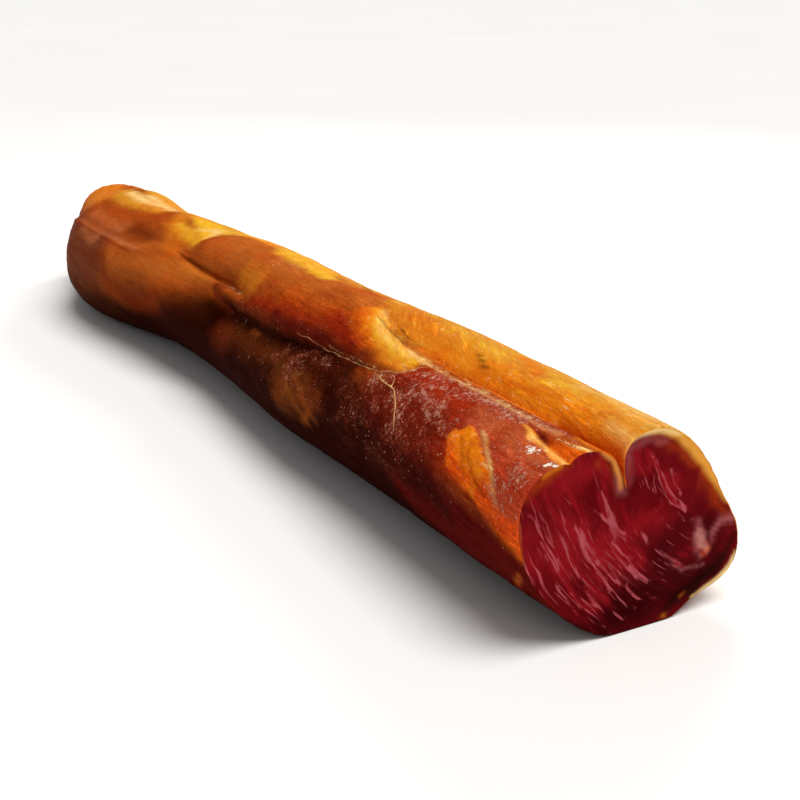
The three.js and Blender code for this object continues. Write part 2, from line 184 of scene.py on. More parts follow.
# The skin's colours, from the widest fields to the smallest lines.
SKIN_MARKS = table(Stain, [
    ("back", "honey", [(-20, 20, 25), (240, 20, 26), (480, 20, 24)], 9),
    ("back, amber", "ochre", [(60, 22, 6), (112, 16, 7)], 8, 0.6),
    ("back, brown stain", "sienna", [(150, 22, 8), (240, 14, 10)], 10, 0.75),
    ("back, red stain", "rust", [(196, 0, 5), (262, -8, 8), (340, -4, 6)], 8, 0.8),
    ("back, low", "chestnut", [(-10, -34, 5), (240, -38, 8), (470, -34, 7)], 9, 0.85),
    ("fat along the top", "gold", [(60, 60, 8), (200, 58, 9), (290, 58, 10), (372, 60, 8)], 8, 0.85),
    ("back, dark streak", "garnet", [(118, 36, 0.8), (178, 31, 1.6), (244, 34, 0.6)], 3, 0.5),
    ("back, pale streak", "sand", [(40, 38, 0.5), (92, 42, 1.2), (140, 40, 0.4)], 2.4, 0.5),
    ("back of the tip", "rust", [(384, 14, 7), (440, 24, 12)], 10, 0.75),
    ("pale fold of the tip", "sand", [(330, 30, 0.6), (380, 36, 1.4), (420, 50, 0.6)], 3, 0.45),
    ("underside", "umber", [(-10, 268, 17), (480, 268, 17)], 9),
    # Painted shade: the lower flank is dark red skin, darkened further as shade.
    ("lower flank", "shaded_dark_red", [
        (-10, 218, 13), (60, 206, 20), (200, 204, 22), (300, 222, 15), (470, 236, 12),
    ], 7),
    ("maroon flank", "maroon", [(-10, 200, 13), (30, 192, 13), (60, 184, 7)], 6),
    ("golden back roll", "gold", [(-10, 82, 16), (60, 86, 15), (100, 84, 12), (120, 80, 9)], 4),
    ("orange half of the gold", "orange", [
        (104, 96, 4), (60, 104, 5), (20, 102, 4), (-4, 100, 4),
    ], 4.5, 0.75),
    ("upper roll", "rust", [(134, 112, 10), (170, 116, 14), (240, 116, 13)], 5),
    ("upper roll glow", "sienna", [(150, 102, 6), (190, 108, 9), (236, 114, 9)], 7, 0.8),
    # Painted shade in the hollow under the neck and down its flank.
    ("flank of the neck", "shaded_dark_red", [(200, 166, 7), (226, 173, 9.4), (250, 185, 8)], 7, 0.86),
    ("shade under the roll", "shaded_dark_red", [(72, 162, 4), (100, 158, 8), (150, 158, 9), (200, 160, 6)], 5, 0.95),
    ("belly shade", "shaded_dark_red", [(80, 190, 14), (200, 190, 16)], 9, 0.8),
    ("bulb", "sienna", [(222, 145, 3), (262, 148, 7), (290, 155, 10), (302, 162, 8)], 4),
    ("bulb glow", "ochre", [(226, 141, 1.6), (262, 142, 3)], 3, 0.35),
    ("bulb's upper side", "rust", [(256, 137, 3), (280, 143, 4), (302, 149, 3.6)], 3.6, 0.8),
    ("bulb, low", "chestnut", [(262, 173, 3), (294, 183, 8), (310, 174, 4)], 6, 0.75),
    ("tip flank", "mahogany", [(326, 164, 13), (356, 168, 15), (400, 174, 15), (440, 176, 15)], 6),
    ("tip, low", "umber", [(320, 208, 10), (430, 214, 12)], 8, 0.85),
    ("front roll", "brick", [(-4, 146, 9), (45, 144, 9), (72, 141, 6)], 3.5),
    ("front roll, low", "maroon", [(40, 170, 5), (74, 162, 6)], 5, 0.9),
    # Painted shade where the front roll turns down, away from the light.
    ("front roll, lowest", "shaded_dark_red", [(34, 182, 3), (50, 173, 6), (80, 169, 6)], 5, 0.8),
    ("streak by the rim", "sienna", [(4, 190, 0.5), (12, 206, 0.8)], 1.2, 0.7),
    ("warm edge of the cut", "ember", [(-3, 170, 5), (8, 167, 3)], 3, 0.85),
    # The golden roll beside the cleft.
    ("sheen on the gold", "cream", [(0, 74, 4), (30, 72, 4)], 3.5, 0.35),
    ("yellow field", "yolk", [(92, 84, 2), (76, 92, 4), (64, 90, 3)], 2.6, 0.6),
    ("yellow field, near", "yolk", [(40, 94, 3), (18, 86, 3)], 3, 0.4),
    ("orange mottle", "ember", [(58, 76, 2.6), (46, 84, 2), (41, 92, 1)], 1.8, 0.7),
    ("orange mottle, far", "ember", [(114, 84, 2.8), (98, 93, 2.4), (84, 99, 1.4)], 2.4, 0.7),
    ("amber far end", "ochre", [(126, 99, 4), (106, 94, 6), (84, 98, 5), (66, 97, 3)], 4, 0.75),
    ("orange mottle, low", "ember", [(60, 106, 1.6), (44, 110, 1.4)], 2, 0.6),
    ("brown fleck in the gold", "umber", [(65, 97, 0.5), (59, 102, 0.6), (56, 104, 0.3)], 0.7, 0.8),
    ("red margin by the cut", "ember", [(14, 108, 1.6), (2, 106, 3)], 2.2, 0.85),
    ("cleft floor", "ember", [(0, 108, 1.6), (45, 113, 1.8), (84, 113, 1.2)], 1.6, 0.9, 0.3),
    # The saddle where the two rolls meet.
    ("end of the gold", "sienna", [(134, 88, 5), (122, 102, 3.4), (117, 109, 1.8)], 4, 0.85),
    ("saddle, below", "garnet", [(128, 124, 3), (108, 130, 3), (96, 136, 1.6)], 3, 0.9),
    ("saddle's skirt", "ember", [(117, 113, 3), (98, 126, 3.2), (84, 129, 4)], 3.2, 0.8),
    ("saddle, orange", "orange", [
        (118, 103, 1.2), (108, 114, 3), (94, 123.5, 2.8), (78, 129, 3.8),
    ], 2.2, 0.8),
    ("saddle", "yolk", [
        (117, 102, 0.8), (110, 110, 2), (99, 119, 2.8), (88, 125, 3), (76, 127, 2.8),
    ], 2.2, 0.85),
    ("saddle, lower side", "ochre", [(96, 128, 1), (86, 130.4, 1.6), (78, 131.4, 1.4)], 1.8, 0.6),
    ("saddle, pale", "cream", [(116, 101, 0.5), (104, 115, 1.2), (94, 121, 1.2), (80, 124, 0.6)], 1.6, 0.35),
    ("saddle, pale by the thread", "cream", [(84, 120, 0.8), (75, 122, 0.7)], 0.8, 0.6),
    # Painted shade along the crease between the rolls.
    ("line between the rolls", "umber", [(112, 109, 0.2), (100, 114, 0.4), (88, 117.5, 0.3)], 0.5, 0.6, 0.3),
    # The upper roll.
    ("yellow strip", "yolk", [(160, 94, 3), (176, 87, 6), (200, 85, 7), (214, 79, 4)], 2.6),
    ("yellow strip, orange end", "orange", [(219, 84, 4), (240, 84, 4)], 4, 0.85),
    ("orange flank", "ember", [(134, 84, 6), (154, 86, 4)], 4, 0.3),
    ("dark streak over the flank", "umber", [(152, 74, 1.2), (141, 82, 0.8)], 1.2, 0.7),
    ("dull sheen", "clay", [(176, 102, 1.6), (196, 104, 2.6)], 3.5, 0.35),
    ("shaded lip", "garnet", [(104, 136, 2.4), (130, 133, 5), (150, 134, 4.6), (180, 139, 3)], 3.4, 0.85),
    ("dark edge of the lip", "chestnut", [
        (92, 134, 1), (100, 138, 1.4), (130, 138, 2), (190, 145, 1.6),
    ], 2.4, 0.85),
    ("shadow over the thread", "maroon", [(104, 138.4, 0.6), (130, 138.6, 1.6), (160, 141, 1.6)], 1.6, 0.85),
    # Painted shadow under the overhanging lip.
    ("under the lip", "shaded_dark_red", [(100, 146, 1), (130, 147, 2), (160, 150, 2), (206, 153, 1.6)], 2.2, 0.95),
    ("amber glow", "ochre", [(186, 126, 4), (202, 128, 4)], 4, 0.75),
    ("orange over the lip", "ember", [(128, 120, 3), (160, 124, 3)], 4, 0.25),
    # Painted shade under the fold over the flap.
    ("under the fold", "umber", [(226, 135.6, 0.4), (256, 134, 0.8)], 1.2, 0.6),
    # The neck and the tip.
    ("brown facet", "sienna", [(226, 112, 8), (244, 112, 7)], 3),
    ("yellow window", "yolk", [
        (300, 78, 2), (284, 84, 5), (270, 92, 7), (262, 106, 3.4), (263, 117, 1),
    ], 2.4),
    ("yellow window, near", "yolk", [(258, 86, 6), (236, 84, 2.4)], 3, 0.85),
    ("yellow window, pale", "cream", [(272, 88, 1.2), (262, 98, 2.4), (261, 108, 1)], 2.6, 0.6),
    ("yellow window, glow", "cream", [(277, 99, 1.6), (264, 85, 1.6)], 3, 0.5),
    ("neck", "ochre", [(288, 110, 3), (278, 124, 4), (268, 132, 3)], 4, 0.6),
    ("neck, far", "ochre", [(302, 88, 4), (294, 104, 4), (284, 114, 2)], 4, 0.9),
    ("neck, golden", "yolk", [(292, 104, 1.6), (276, 110, 4), (262, 119, 2.6)], 3, 0.75),
    ("brown facet of the tip", "rust", [(308, 120, 7), (338, 114, 8)], 5),
    ("darkest of the facet", "chestnut", [(314, 127, 5), (298, 132, 4)], 6, 0.7),
    ("gold round the cream", "gold", [(318, 92, 3), (350, 98, 5), (370, 100, 5)], 4, 0.85),
    ("yellow field along the top", "yolk", [
        (150, 76, 3), (206, 70, 4), (262, 73, 4), (310, 72, 3), (360, 71, 3),
    ], 7, 0.45),
    # Pale fat on the tip, with a painted highlight on it.
    ("cream on the tip", "cream", [(316, 84, 1.6), (332, 82, 2.6), (350, 80, 2)], 3.2, 0.95),
    ("cream on the tip, low", "cream", [(330, 88, 1.2), (348, 92, 2.2), (362, 93, 1.6)], 2.2, 0.9),
    ("dark spot on the tip", "chestnut", [(362, 82, 1.4), (372, 84, 1.2)], 1.8, 0.75),
    ("orange end", "ochre", [(376, 112, 8), (436, 112, 12)], 5),
    ("very tip, seen side", "rust", [(458, 60, 12), (458, 150, 12), (458, 239, 12)], 7, 0.95),
    ("very tip, far side", "rust", [(458, 60, 12), (458, -30, 12), (458, -119, 12)], 7, 0.95),
    ("knot at the very tip", "umber", [(458, 60, 3), (458, 150, 3), (458, 239, 3)], 3, 0.6),
    ("knot, far side", "umber", [(458, 60, 3), (458, -30, 3), (458, -119, 3)], 3, 0.6),
    ("pink side of the ridge", "clay", [(322, 132, 3), (356, 131, 3.4)], 3.2, 0.5),
    ("pale ridge line", "clay", [(366, 141, 0.6), (317, 142.4, 0.8), (290, 146.5, 0.8)], 1.4, 0.7, 0.3),
    ("red line below it", "garnet", [(366, 145, 0.5), (317, 147.6, 0.6), (298, 149.5, 0.5)], 1.1, 0.35, 0.3),
    ("pink below the ridge", "clay", [(352, 148, 1.4), (328, 150, 2)], 2.6, 0.6),
    # The dark flank's thin windows, where the light comes through.
    ("amber window", "bole", [(110, 170, 2), (118, 171, 4), (138, 177, 5)], 5, 0.8),
    ("amber window, bright", "sienna", [(113, 176, 0.4), (116, 182, 0.8), (121, 188, 0.4)], 2.2, 0.5),
    ("amber streak", "sienna", [(130, 162, 0.3), (119, 172, 0.5), (110, 183, 0.4)], 1.6, 0.4),
    ("second amber streak", "ochre", [(135, 167, 0.3), (125, 177, 0.4), (116, 188, 0.3)], 1.4, 0.3),
    ("amber window, streak", "clay", [(124, 162, 0.4), (130, 168, 0.5), (132, 176, 0.3)], 1.4, 0.3),
    ("smoky window", "bole", [(138, 164, 2), (160, 162, 2.6), (196, 168, 4)], 5, 0.4),
    ("orange spot under the roll", "sienna", [(171, 157, 0.6), (179, 158, 0.8)], 1.4, 0.7),
    ("end of the flap", "chestnut", [(206, 144, 1.6), (214, 145, 2)], 2, 0.8),
    ("glow in the hollow", "maroon", [(216, 152, 1.6), (204, 154, 1.6)], 2, 0.6),
    ("brown of the neck's flank", "chestnut", [(208, 171, 4), (196, 173, 4)], 6, 0.8),
    # The front roll beside the cut.
    ("speckled wine", "wine", [(84, 148, 3), (66, 150, 7), (46, 152, 5)], 4, 0.85),
    ("red under the ridge", "garnet", [(70, 130, 2.2), (40, 129, 2.6), (16, 129, 1.6)], 1.8, 0.85),
    ("red of the roll, near", "wine", [(43, 147, 3), (32, 143.5, 2.4)], 3, 0.5),
    ("rose near the cut", "rose", [(32, 138, 3), (14, 143, 5), (0, 150, 6)], 4, 0.75),
    ("brown skin near the cut", "clay", [(34, 134, 2), (14, 137, 3), (0, 139, 2)], 3, 0.5),
    ("pink skin by the patch", "rose", [(22, 147, 2), (8, 152, 4), (0, 158, 4)], 2.6, 0.8),
    ("red skin by the cut", "brick", [(20, 147, 2), (9, 155, 2.2), (-2, 150, 2.8)], 2.8, 0.65),
    ("red ridge", "garnet", [(64, 119, 1), (30, 119, 1.6), (10, 118, 1.6)], 1.6, 0.8),
    ("wall by the cut", "ember", [(6, 115, 1.4), (-2, 113, 2.2)], 1.6, 0.9),
    # Painted sheen on the lip of the gold by the cut.
    ("pale lip of the gold", "cream", [(-1, 97, 2), (9, 94, 1.2)], 2.4, 0.35),
    ("pale ridge edge", "sand", [(74, 122.4, 0.6), (40, 123, 0.9), (12, 122.6, 0.9)], 1.0, 0.5),
    ("orange patch", "orange", [
        (35, 149, 1.6), (30, 151.5, 4.4), (24, 154.5, 4.2), (17, 158, 3.6), (10, 163, 2.4),
    ], 0.6),
    ("orange patch, tail", "flame", [(15, 162, 3), (8, 167, 2.8), (-3, 170, 3.4)], 1.6, 0.9),
    ("orange patch, deep side", "flame", [(34, 152, 0.8), (30, 158, 1.6), (22, 161, 1.2)], 1.6, 0.8),
    ("red vein in the patch", "garnet", [(27, 147, 0.3), (22, 156, 0.5), (15, 162, 0.4)], 0.6, 0.6),
    ("second vein in the patch", "rust", [(31, 147, 0.3), (27, 153, 0.4), (24, 160, 0.4)], 0.7, 0.6),
    ("pale edge of the patch", "cream", [
        (27, 140.6, 0.15), (23, 143.5, 0.3), (14.5, 151.5, 0.3), (10, 158, 0.15),
    ], 0.6, 0.75, 0.6),
    ("gusset's web", "ember", [(12, 130, 0.5), (5, 128.8, 1.8), (-2, 127, 3.2)], 0.9, 0.95),
    ("web's pale thread", "cream", [(3, 124, 0.3), (0, 122, 0.5)], 0.4, 0.8),
    ("gusset's strip", "fat", [
        (22.4, 127.3, 0.1), (18, 129.3, 0.6), (15, 131.2, 1.1), (11, 132.4, 0.7), (0, 135, 0.9),
    ], 0.4, 1.0, 0.5),
    ("gusset's strip, pale", "cream", [
        (17, 130, 0.1), (14.6, 131.2, 0.4), (9, 133, 0.2), (0, 135, 0.3),
    ], 0.4, 0.7),
    ("gusset, red fold", "maroon", [(16, 127.4, 0.2), (13.4, 128.6, 0.8), (9.4, 130.4, 0.3)], 0.6, 0.95),
    ("pale strip at the heel", "cream", [(-2, 330, 2.2), (14, 333, 1.6), (40, 335, 0.6)], 1.4, 0.85),
    ("dark band at the heel", "umber", [(-2, 345, 3), (22, 346, 2), (50, 344, 1)], 3, 0.7),
])

# White and pink bloom on the skin. Here the share says how dense it is.
BLOOM_MARKS = table(Mark, [
    ("thin everywhere in front", [(0, 148, 12), (120, 154, 12), (200, 156, 8)], 6, 0.2),
    ("front roll", [(82, 145, 4), (64, 145, 6), (44, 143, 8)], 5, 0.85),
    ("beside the patch", [(16, 149, 2.6), (8, 152, 4), (0, 157, 4.4)], 3.4, 1.3),
    ("ridge side", [(66, 127, 2.4), (18, 126, 3)], 2.6, 0.9),
    ("ridge by the gusset", [(30, 123, 1.6), (20, 123.5, 2.4), (6, 122, 1.6)], 1.6, 1.2),
    ("gusset", [(14, 134, 2), (0, 139, 2)], 2, 0.6),
    ("under the crease", [(112, 150, 2.4), (148, 155, 4)], 3.5, 0.4),
    ("smoke", [(132, 163, 3), (144, 170, 2)], 4, 0.3),
    ("at the cleft", [(64, 114, 1.4), (20, 112, 1.4)], 2, 0.3),
    ("low on the flank", [(60, 172, 6), (90, 170, 7)], 6, 0.3),
])

# Dry broken edges, pale and flaky.
CRUST_MARKS = table(Mark, [
    ("ridge edge", [(78, 121.5, 0.8), (60, 122, 0.8), (40, 122, 1.2), (24, 122.5, 1)], 1.6, 0.9),
    ("over the cleft", [(60, 117, 1), (36, 115, 1.5)], 3, 0.5),
    ("saddle's edge", [(118, 98, 0.6), (100, 112, 0.8), (86, 118, 0.8), (74, 121, 0.7)], 1.0, 0.5),
    ("saddle's end", [(73, 122, 0.5), (72, 130, 0.7), (76, 137, 0.6)], 0.8, 0.9),
    ("gusset's other edge", [(9, 125.5, 0.5), (1, 124, 0.6)], 0.7, 0.8),
    ("edge of the patch", [(30, 141, 0.1), (23, 143.5, 0.15), (14.5, 151.5, 0.1)], 0.4, 0.2),
    ("beside the thread", [(120, 141, 0.3), (88, 139.5, 0.5)], 0.6, 0.6),
    ("thread down the roll", [(88, 141, 0.3), (73, 144.6, 0.5), (64, 151, 0.4), (60, 158, 0.2)], 0.6, 0.7),
    ("flap's edge", [(222, 138.5, 0.3), (205, 137.5, 0.5), (190, 139, 0.3)], 0.8, 0.7),
    ("rim of the cut", [(-0.5, 60, 0.5), (-0.5, 100, 0.5)], 0.6, 0.8),
    ("tip ridge", [(366, 142, 0.3), (317, 143, 0.4), (292, 146.5, 0.5)], 0.8, 0.2),
])

# White spots of dried bloom: distance, angle and radius.
SPOTS = [
    (10.2, 136.7, 0.9), (11.7, 136.1, 0.45), (8.7, 135.9, 0.5), (9.2, 138.2, 0.4),
    (1.7, 139.0, 0.7), (0.5, 137.8, 0.55), (189, 154, 0.35), (188, 112, 0.25), (64, 138, 0.35),
]

# Lines in the relief: half width is the line's, the share is its height in mm.
RELIEF_LINES = table(Mark, [
    ("lip of the cut", [(-2, 98, 1), (-2, 80, 2)], 4, 1.4, 0.2),
    ("eased floor of the cleft", [
        (26, 109.6, 1.0), (45, 112, 1.6), (80, 112.6, 1.6), (98, 109, 1),
    ], 2.4, 2.0, 0.3),
    ("flap's edge", [(196, 143, 0.6), (206, 144.5, 1.4), (216, 144, 1.4), (236, 143, 1)], 1.8, 0.8, 0.3),
    ("fold over the flap", [
        (200, 139, 0.3), (216, 137.6, 0.5), (240, 138, 0.5), (262, 135, 0.2),
    ], 0.9, -1.2, 0.15),
    ("round of the fold", [(200, 140, 0.3), (196, 145, 0.4), (197, 151, 0.4)], 1.0, -0.9, 0.2),
    ("ridge beside the cleft", [(78, 119, 0.7), (40, 119.5, 0.9), (8, 117, 0.8)], 1.6, 0.45, 0.4),
    ("second ridge", [(70, 124, 0.5), (20, 125, 0.6)], 1.2, 0.3, 0.5),
    ("furrow", [(76, 121.6, 0.3), (16, 121.4, 0.3)], 0.8, -0.4, 0.4),
    ("line between the rolls", [(102, 112, 0.3), (90, 117, 0.3), (78, 119.5, 0.3)], 0.8, -0.6, 0.2),
    ("saddle wrinkle 1", [(124, 96, 0.4), (112, 112, 0.5), (98, 124, 0.4)], 1.0, 0.5, 0.4),
    ("saddle wrinkle 2", [(118, 98, 0.3), (106, 112, 0.4), (92, 122, 0.3)], 0.9, -0.5, 0.4),
    ("saddle wrinkle 3", [(112, 98, 0.3), (98, 108, 0.4)], 0.9, 0.35, 0.4),
    ("lip under the roll", [(150, 146.5, 0.4), (120, 142.6, 0.4), (92, 140.5, 0.4)], 0.8, -0.7, 0.15),
    ("fold end", [(88, 140, 0.4), (75, 134, 0.4), (70, 122, 0.4)], 0.9, -0.45, 0.2),
    ("gusset's strip", [(20, 128.4, 0.2), (15, 131.2, 0.6), (0, 135, 0.6)], 0.7, 0.4, 0.3),
    ("gusset fold", [(16, 127.6, 0.3), (12, 129, 0.8), (2, 132, 0.5)], 1.1, -0.7, 0.2),
    ("edge of the patch", [(33, 141, 0.3), (20, 150, 0.4), (13, 160, 0.4), (0, 164, 0.4)], 0.8, 0.35, 0.3),
    ("patch, sunk", [(30, 154, 2.5), (20, 164, 3.5), (4, 170, 3.5)], 1.6, -0.25, 0.5),
    ("tip ridge, eased", [
        (396, 141, 1.2), (370, 141.5, 1.4), (340, 142, 1.0), (304, 145, 0.8),
    ], 2.0, -0.9, 0.2),
    ("above the ridge's end", [(428, 137, 2), (404, 138, 1.6)], 3, 0.5, 0.2),
    ("tip line", [(360, 145.5, 0.3), (317, 148, 0.4), (294, 151, 0.3)], 1.2, -0.35, 0.2),
    ("tip wrinkle", [(356, 150, 0.3), (320, 153, 0.4)], 1.2, -0.35, 0.4),
    ("neck wrinkle 1", [(256, 98, 0.5), (262, 122, 0.6)], 1.6, -0.5, 0.5),
    ("neck wrinkle 2", [(285, 104, 0.5), (284, 124, 0.5)], 1.8, -0.2, 0.5),
    ("back wrinkle 1", [(60, 24, 0.5), (150, 16, 0.7), (230, 26, 0.4)], 1.6, -0.6, 0.6),
    ("back wrinkle 2", [(120, 48, 0.4), (250, 40, 0.5)], 1.8, -0.4, 0.8),
    ("back wrinkle 3", [(260, -10, 0.5), (380, 4, 0.6)], 1.8, -0.6, 0.8),
    ("flank line", [(90, 186, 0.4), (190, 180, 0.5)], 1.8, -0.3, 0.8),
])

# The cut face's colours, as Y, Z and half width.
FACE_MARKS = table(Stain, [
    ("dark side", "plum", [(9, 18, 3), (14, 24, 3.5), (20, 26, 3), (26, 18, 5)], 6, 0.72),
    ("dark corner", "plum", [(-12, 2.6, 2.4), (-4, 2, 2.4)], 3, 0.6),
    ("dark bottom", "plum", [(-16, 3, 3.8), (-4, 4, 6), (8, 9, 8.6), (20, 10, 6)], 6, 0.88),
    ("dark middle", "plum", [(1, 24, 2.4), (8, 20, 3)], 4, 0.5),
    ("red lobe", "crimson", [(-20, 43, 4), (-12, 45, 3)], 4, 0.8),
    ("red heart", "crimson", [(-20, 28, 5), (-12, 30, 7), (-4, 24, 5), (2, 33, 4), (6, 29, 2)], 8, 0.85),
    ("warm margin", "scarlet", [
        (6, 48.4, 0.5), (12, 45.6, 0.9), (17, 40.6, 1.2), (21.4, 35.2, 1.3), (26, 29.8, 1.7), (30, 26, 1.4),
    ], 1.7, 0.9, 1.8),
    ("fat rim", "fat", [
        (2, 52, 0.5), (7, 51.2, 0.8), (12, 49.2, 1.2), (17.2, 44.4, 1.5), (21, 40, 1.5), (25, 34.4, 1.0),
        (29.4, 28.8, 0.4),
    ], 1.1, 1.0, 0.4),
    ("fat rim, pale top", "cream", [
        (-4, 49.8, 0.4), (0, 51.3, 0.6), (6, 51.4, 0.7), (12, 49.8, 0.8),
    ], 0.8, 0.85, 0.2),
    ("pink top of the right lobe", "mauve", [(-1.8, 48.8, 0.8), (3, 49.4, 0.7), (8, 48, 0.5)], 1.5, 0.55),
    ("right wall of the cleft", "mauve", [
        (-3.2, 49.2, 0.5), (-2.4, 45, 0.9), (-2.4, 40, 0.7),
    ], 1.6, 0.65, 0.6),
    ("left wall, deep", "scarlet", [(-10.8, 46.6, 0.8), (-7.8, 42.6, 1.0), (-6.4, 39.4, 0.7)], 1.4, 0.85),
    ("left wall of the cleft", "tan", [
        (-10.8, 49, 0.4), (-7.2, 46.3, 0.7), (-5.3, 41.6, 0.8), (-4.8, 38.8, 0.5),
    ], 0.9, 1.0, 0.4),
    ("left wall, inner side", "mauve", [
        (-6.8, 42, 0.4), (-5.4, 37.8, 0.7), (-3.6, 37.2, 0.6),
    ], 1.2, 0.7, 0.4),
    ("warm top of the left lobe", "scarlet", [(-31, 42, 0.8), (-26, 45.4, 1.8), (-20, 47.6, 0.8)], 1.6, 0.9),
    ("amber top of the left lobe", "ochre", [(-27, 46.4, 0.6), (-22.4, 47.8, 0.7)], 0.9, 0.85),
    ("thin rim of the left lobe", "tan", [
        (-20, 49.6, 0.25), (-14, 50.6, 0.3), (-10, 49.4, 0.3),
    ], 0.5, 0.9, 0.2),
    ("pink patch", "mauve", [(20.4, 24.4, 0.6), (21.4, 21, 1.2), (22.6, 17.8, 1.6)], 1.8, 0.85, 2.2),
    ("pink patch, bright", "blush", [(21.2, 22.4, 0.3), (22.2, 19.4, 0.6), (23.2, 17.4, 0.5)], 1.3, 0.8, 2.2),
    ("pink patch, outer", "mauve", [(25.8, 20.8, 0.8), (28.6, 23.2, 1.3), (31.8, 23.6, 1.0)], 1.6, 0.85, 2.2),
    ("wedge between them", "plum", [(23.6, 25.4, 0.7), (24, 20.4, 0.5)], 1.0, 0.7),
    ("amber spot", "ember", [(22.8, 16, 0.6), (24.4, 17.4, 0.4)], 0.9, 0.8),
    ("pink tail", "mauve", [
        (10.6, 18.2, 0.1), (12.6, 15.8, 0.3), (16, 13, 0.4), (22.6, 12.4, 0.2),
    ], 0.7, 0.6, 1.4),
    ("dark band", "soot", [
        (33.4, 19, 0.4), (30.6, 15, 1.4), (27, 11, 2.0), (20, 7, 2.0), (12.6, 3.4, 1.4),
    ], 1.6, 0.85),
    ("pale strip", "cream", [
        (33.6, 13.4, 0.4), (31.8, 9.6, 1.0), (27, 6.8, 0.7), (20, 4.4, 0.3),
    ], 0.7, 0.9, 0.4),
    ("amber fleck", "ember", [(16.4, 5.4, 0.4)], 0.9, 0.55),
    ("amber fleck, low", "ochre", [(11, 1.4, 0.5)], 0.9, 0.6),
    ("left side", "crimson", [(-31, 31, 2), (-29, 24, 2)], 3, 0.7),
    ("thin left rim", "sienna", [
        (-33, 36, 0.1), (-32.6, 28, 0.4), (-29, 18, 0.3), (-24, 12, 0.3),
    ], 0.5, 0.7, 0.6),
])

MARBLING_BASE = 0.3  # density where no mark lies
# Where the fat marbling is dense, on the cut face.
MARBLING_MARKS = table(Mark, [
    ("left lobe", [(-29, 38, 2), (-26, 32, 3), (-22, 22, 6), (-10, 14, 5)], 6, 0.5),
    ("middle", [(-16, 32, 3), (-6, 22, 5), (4, 14, 3)], 6, 0.4),
    ("centre", [(-16, 31, 3), (-9, 24, 4)], 4, 0.35),
    ("right lobe", [(4, 42, 2), (7, 37, 2), (14, 30, 2)], 3, 0.5),
    ("low edge", [(-10, 4, 2), (4, 4, 4), (14, 9, 4)], 4, -0.25),
    ("edge is clean", [(14, 42, 3), (24, 28, 3), (30, 17, 2), (18, 7, 2)], 4, -0.45),
    ("fat rim", [
        (-4, 50.6, 0.6), (2, 52, 1.4), (7, 51.2, 1.6), (12, 48.9, 2), (17, 44, 2.8), (20.6, 39.6, 2.8),
        (24.6, 34, 2), (29, 28.6, 1),
    ], 1, -2.0, 0.3),
    ("walls of the cleft", [
        (-10.4, 48.8, 0.9), (-7, 46.4, 1.4), (-4.6, 38, 1), (-2.6, 45, 0.8), (-3.4, 49.4, 0.8),
    ], 1, -0.7, 0.5),
    ("pink patches", [(20.4, 22, 1), (22, 17.8, 1.6), (24.5, 17, 1)], 1.4, -0.55, 0.8),
    ("outer pink patch", [(26.4, 22, 1), (32, 22.6, 1.4)], 1.4, -0.55, 0.8),
    ("dried edge", [(33, 13, 1), (30, 9, 2), (20, 5, 1.6), (11, 1.6, 1.4)], 1.6, -1.6, 0.3),
    ("warm top", [(-29, 43.4, 0.8), (-24, 46.8, 1.4), (-20, 48.4, 0.8)], 1.2, -1.4, 0.3),
])

STREAK_WEIGHT = 1.3  # density that a whole streak adds
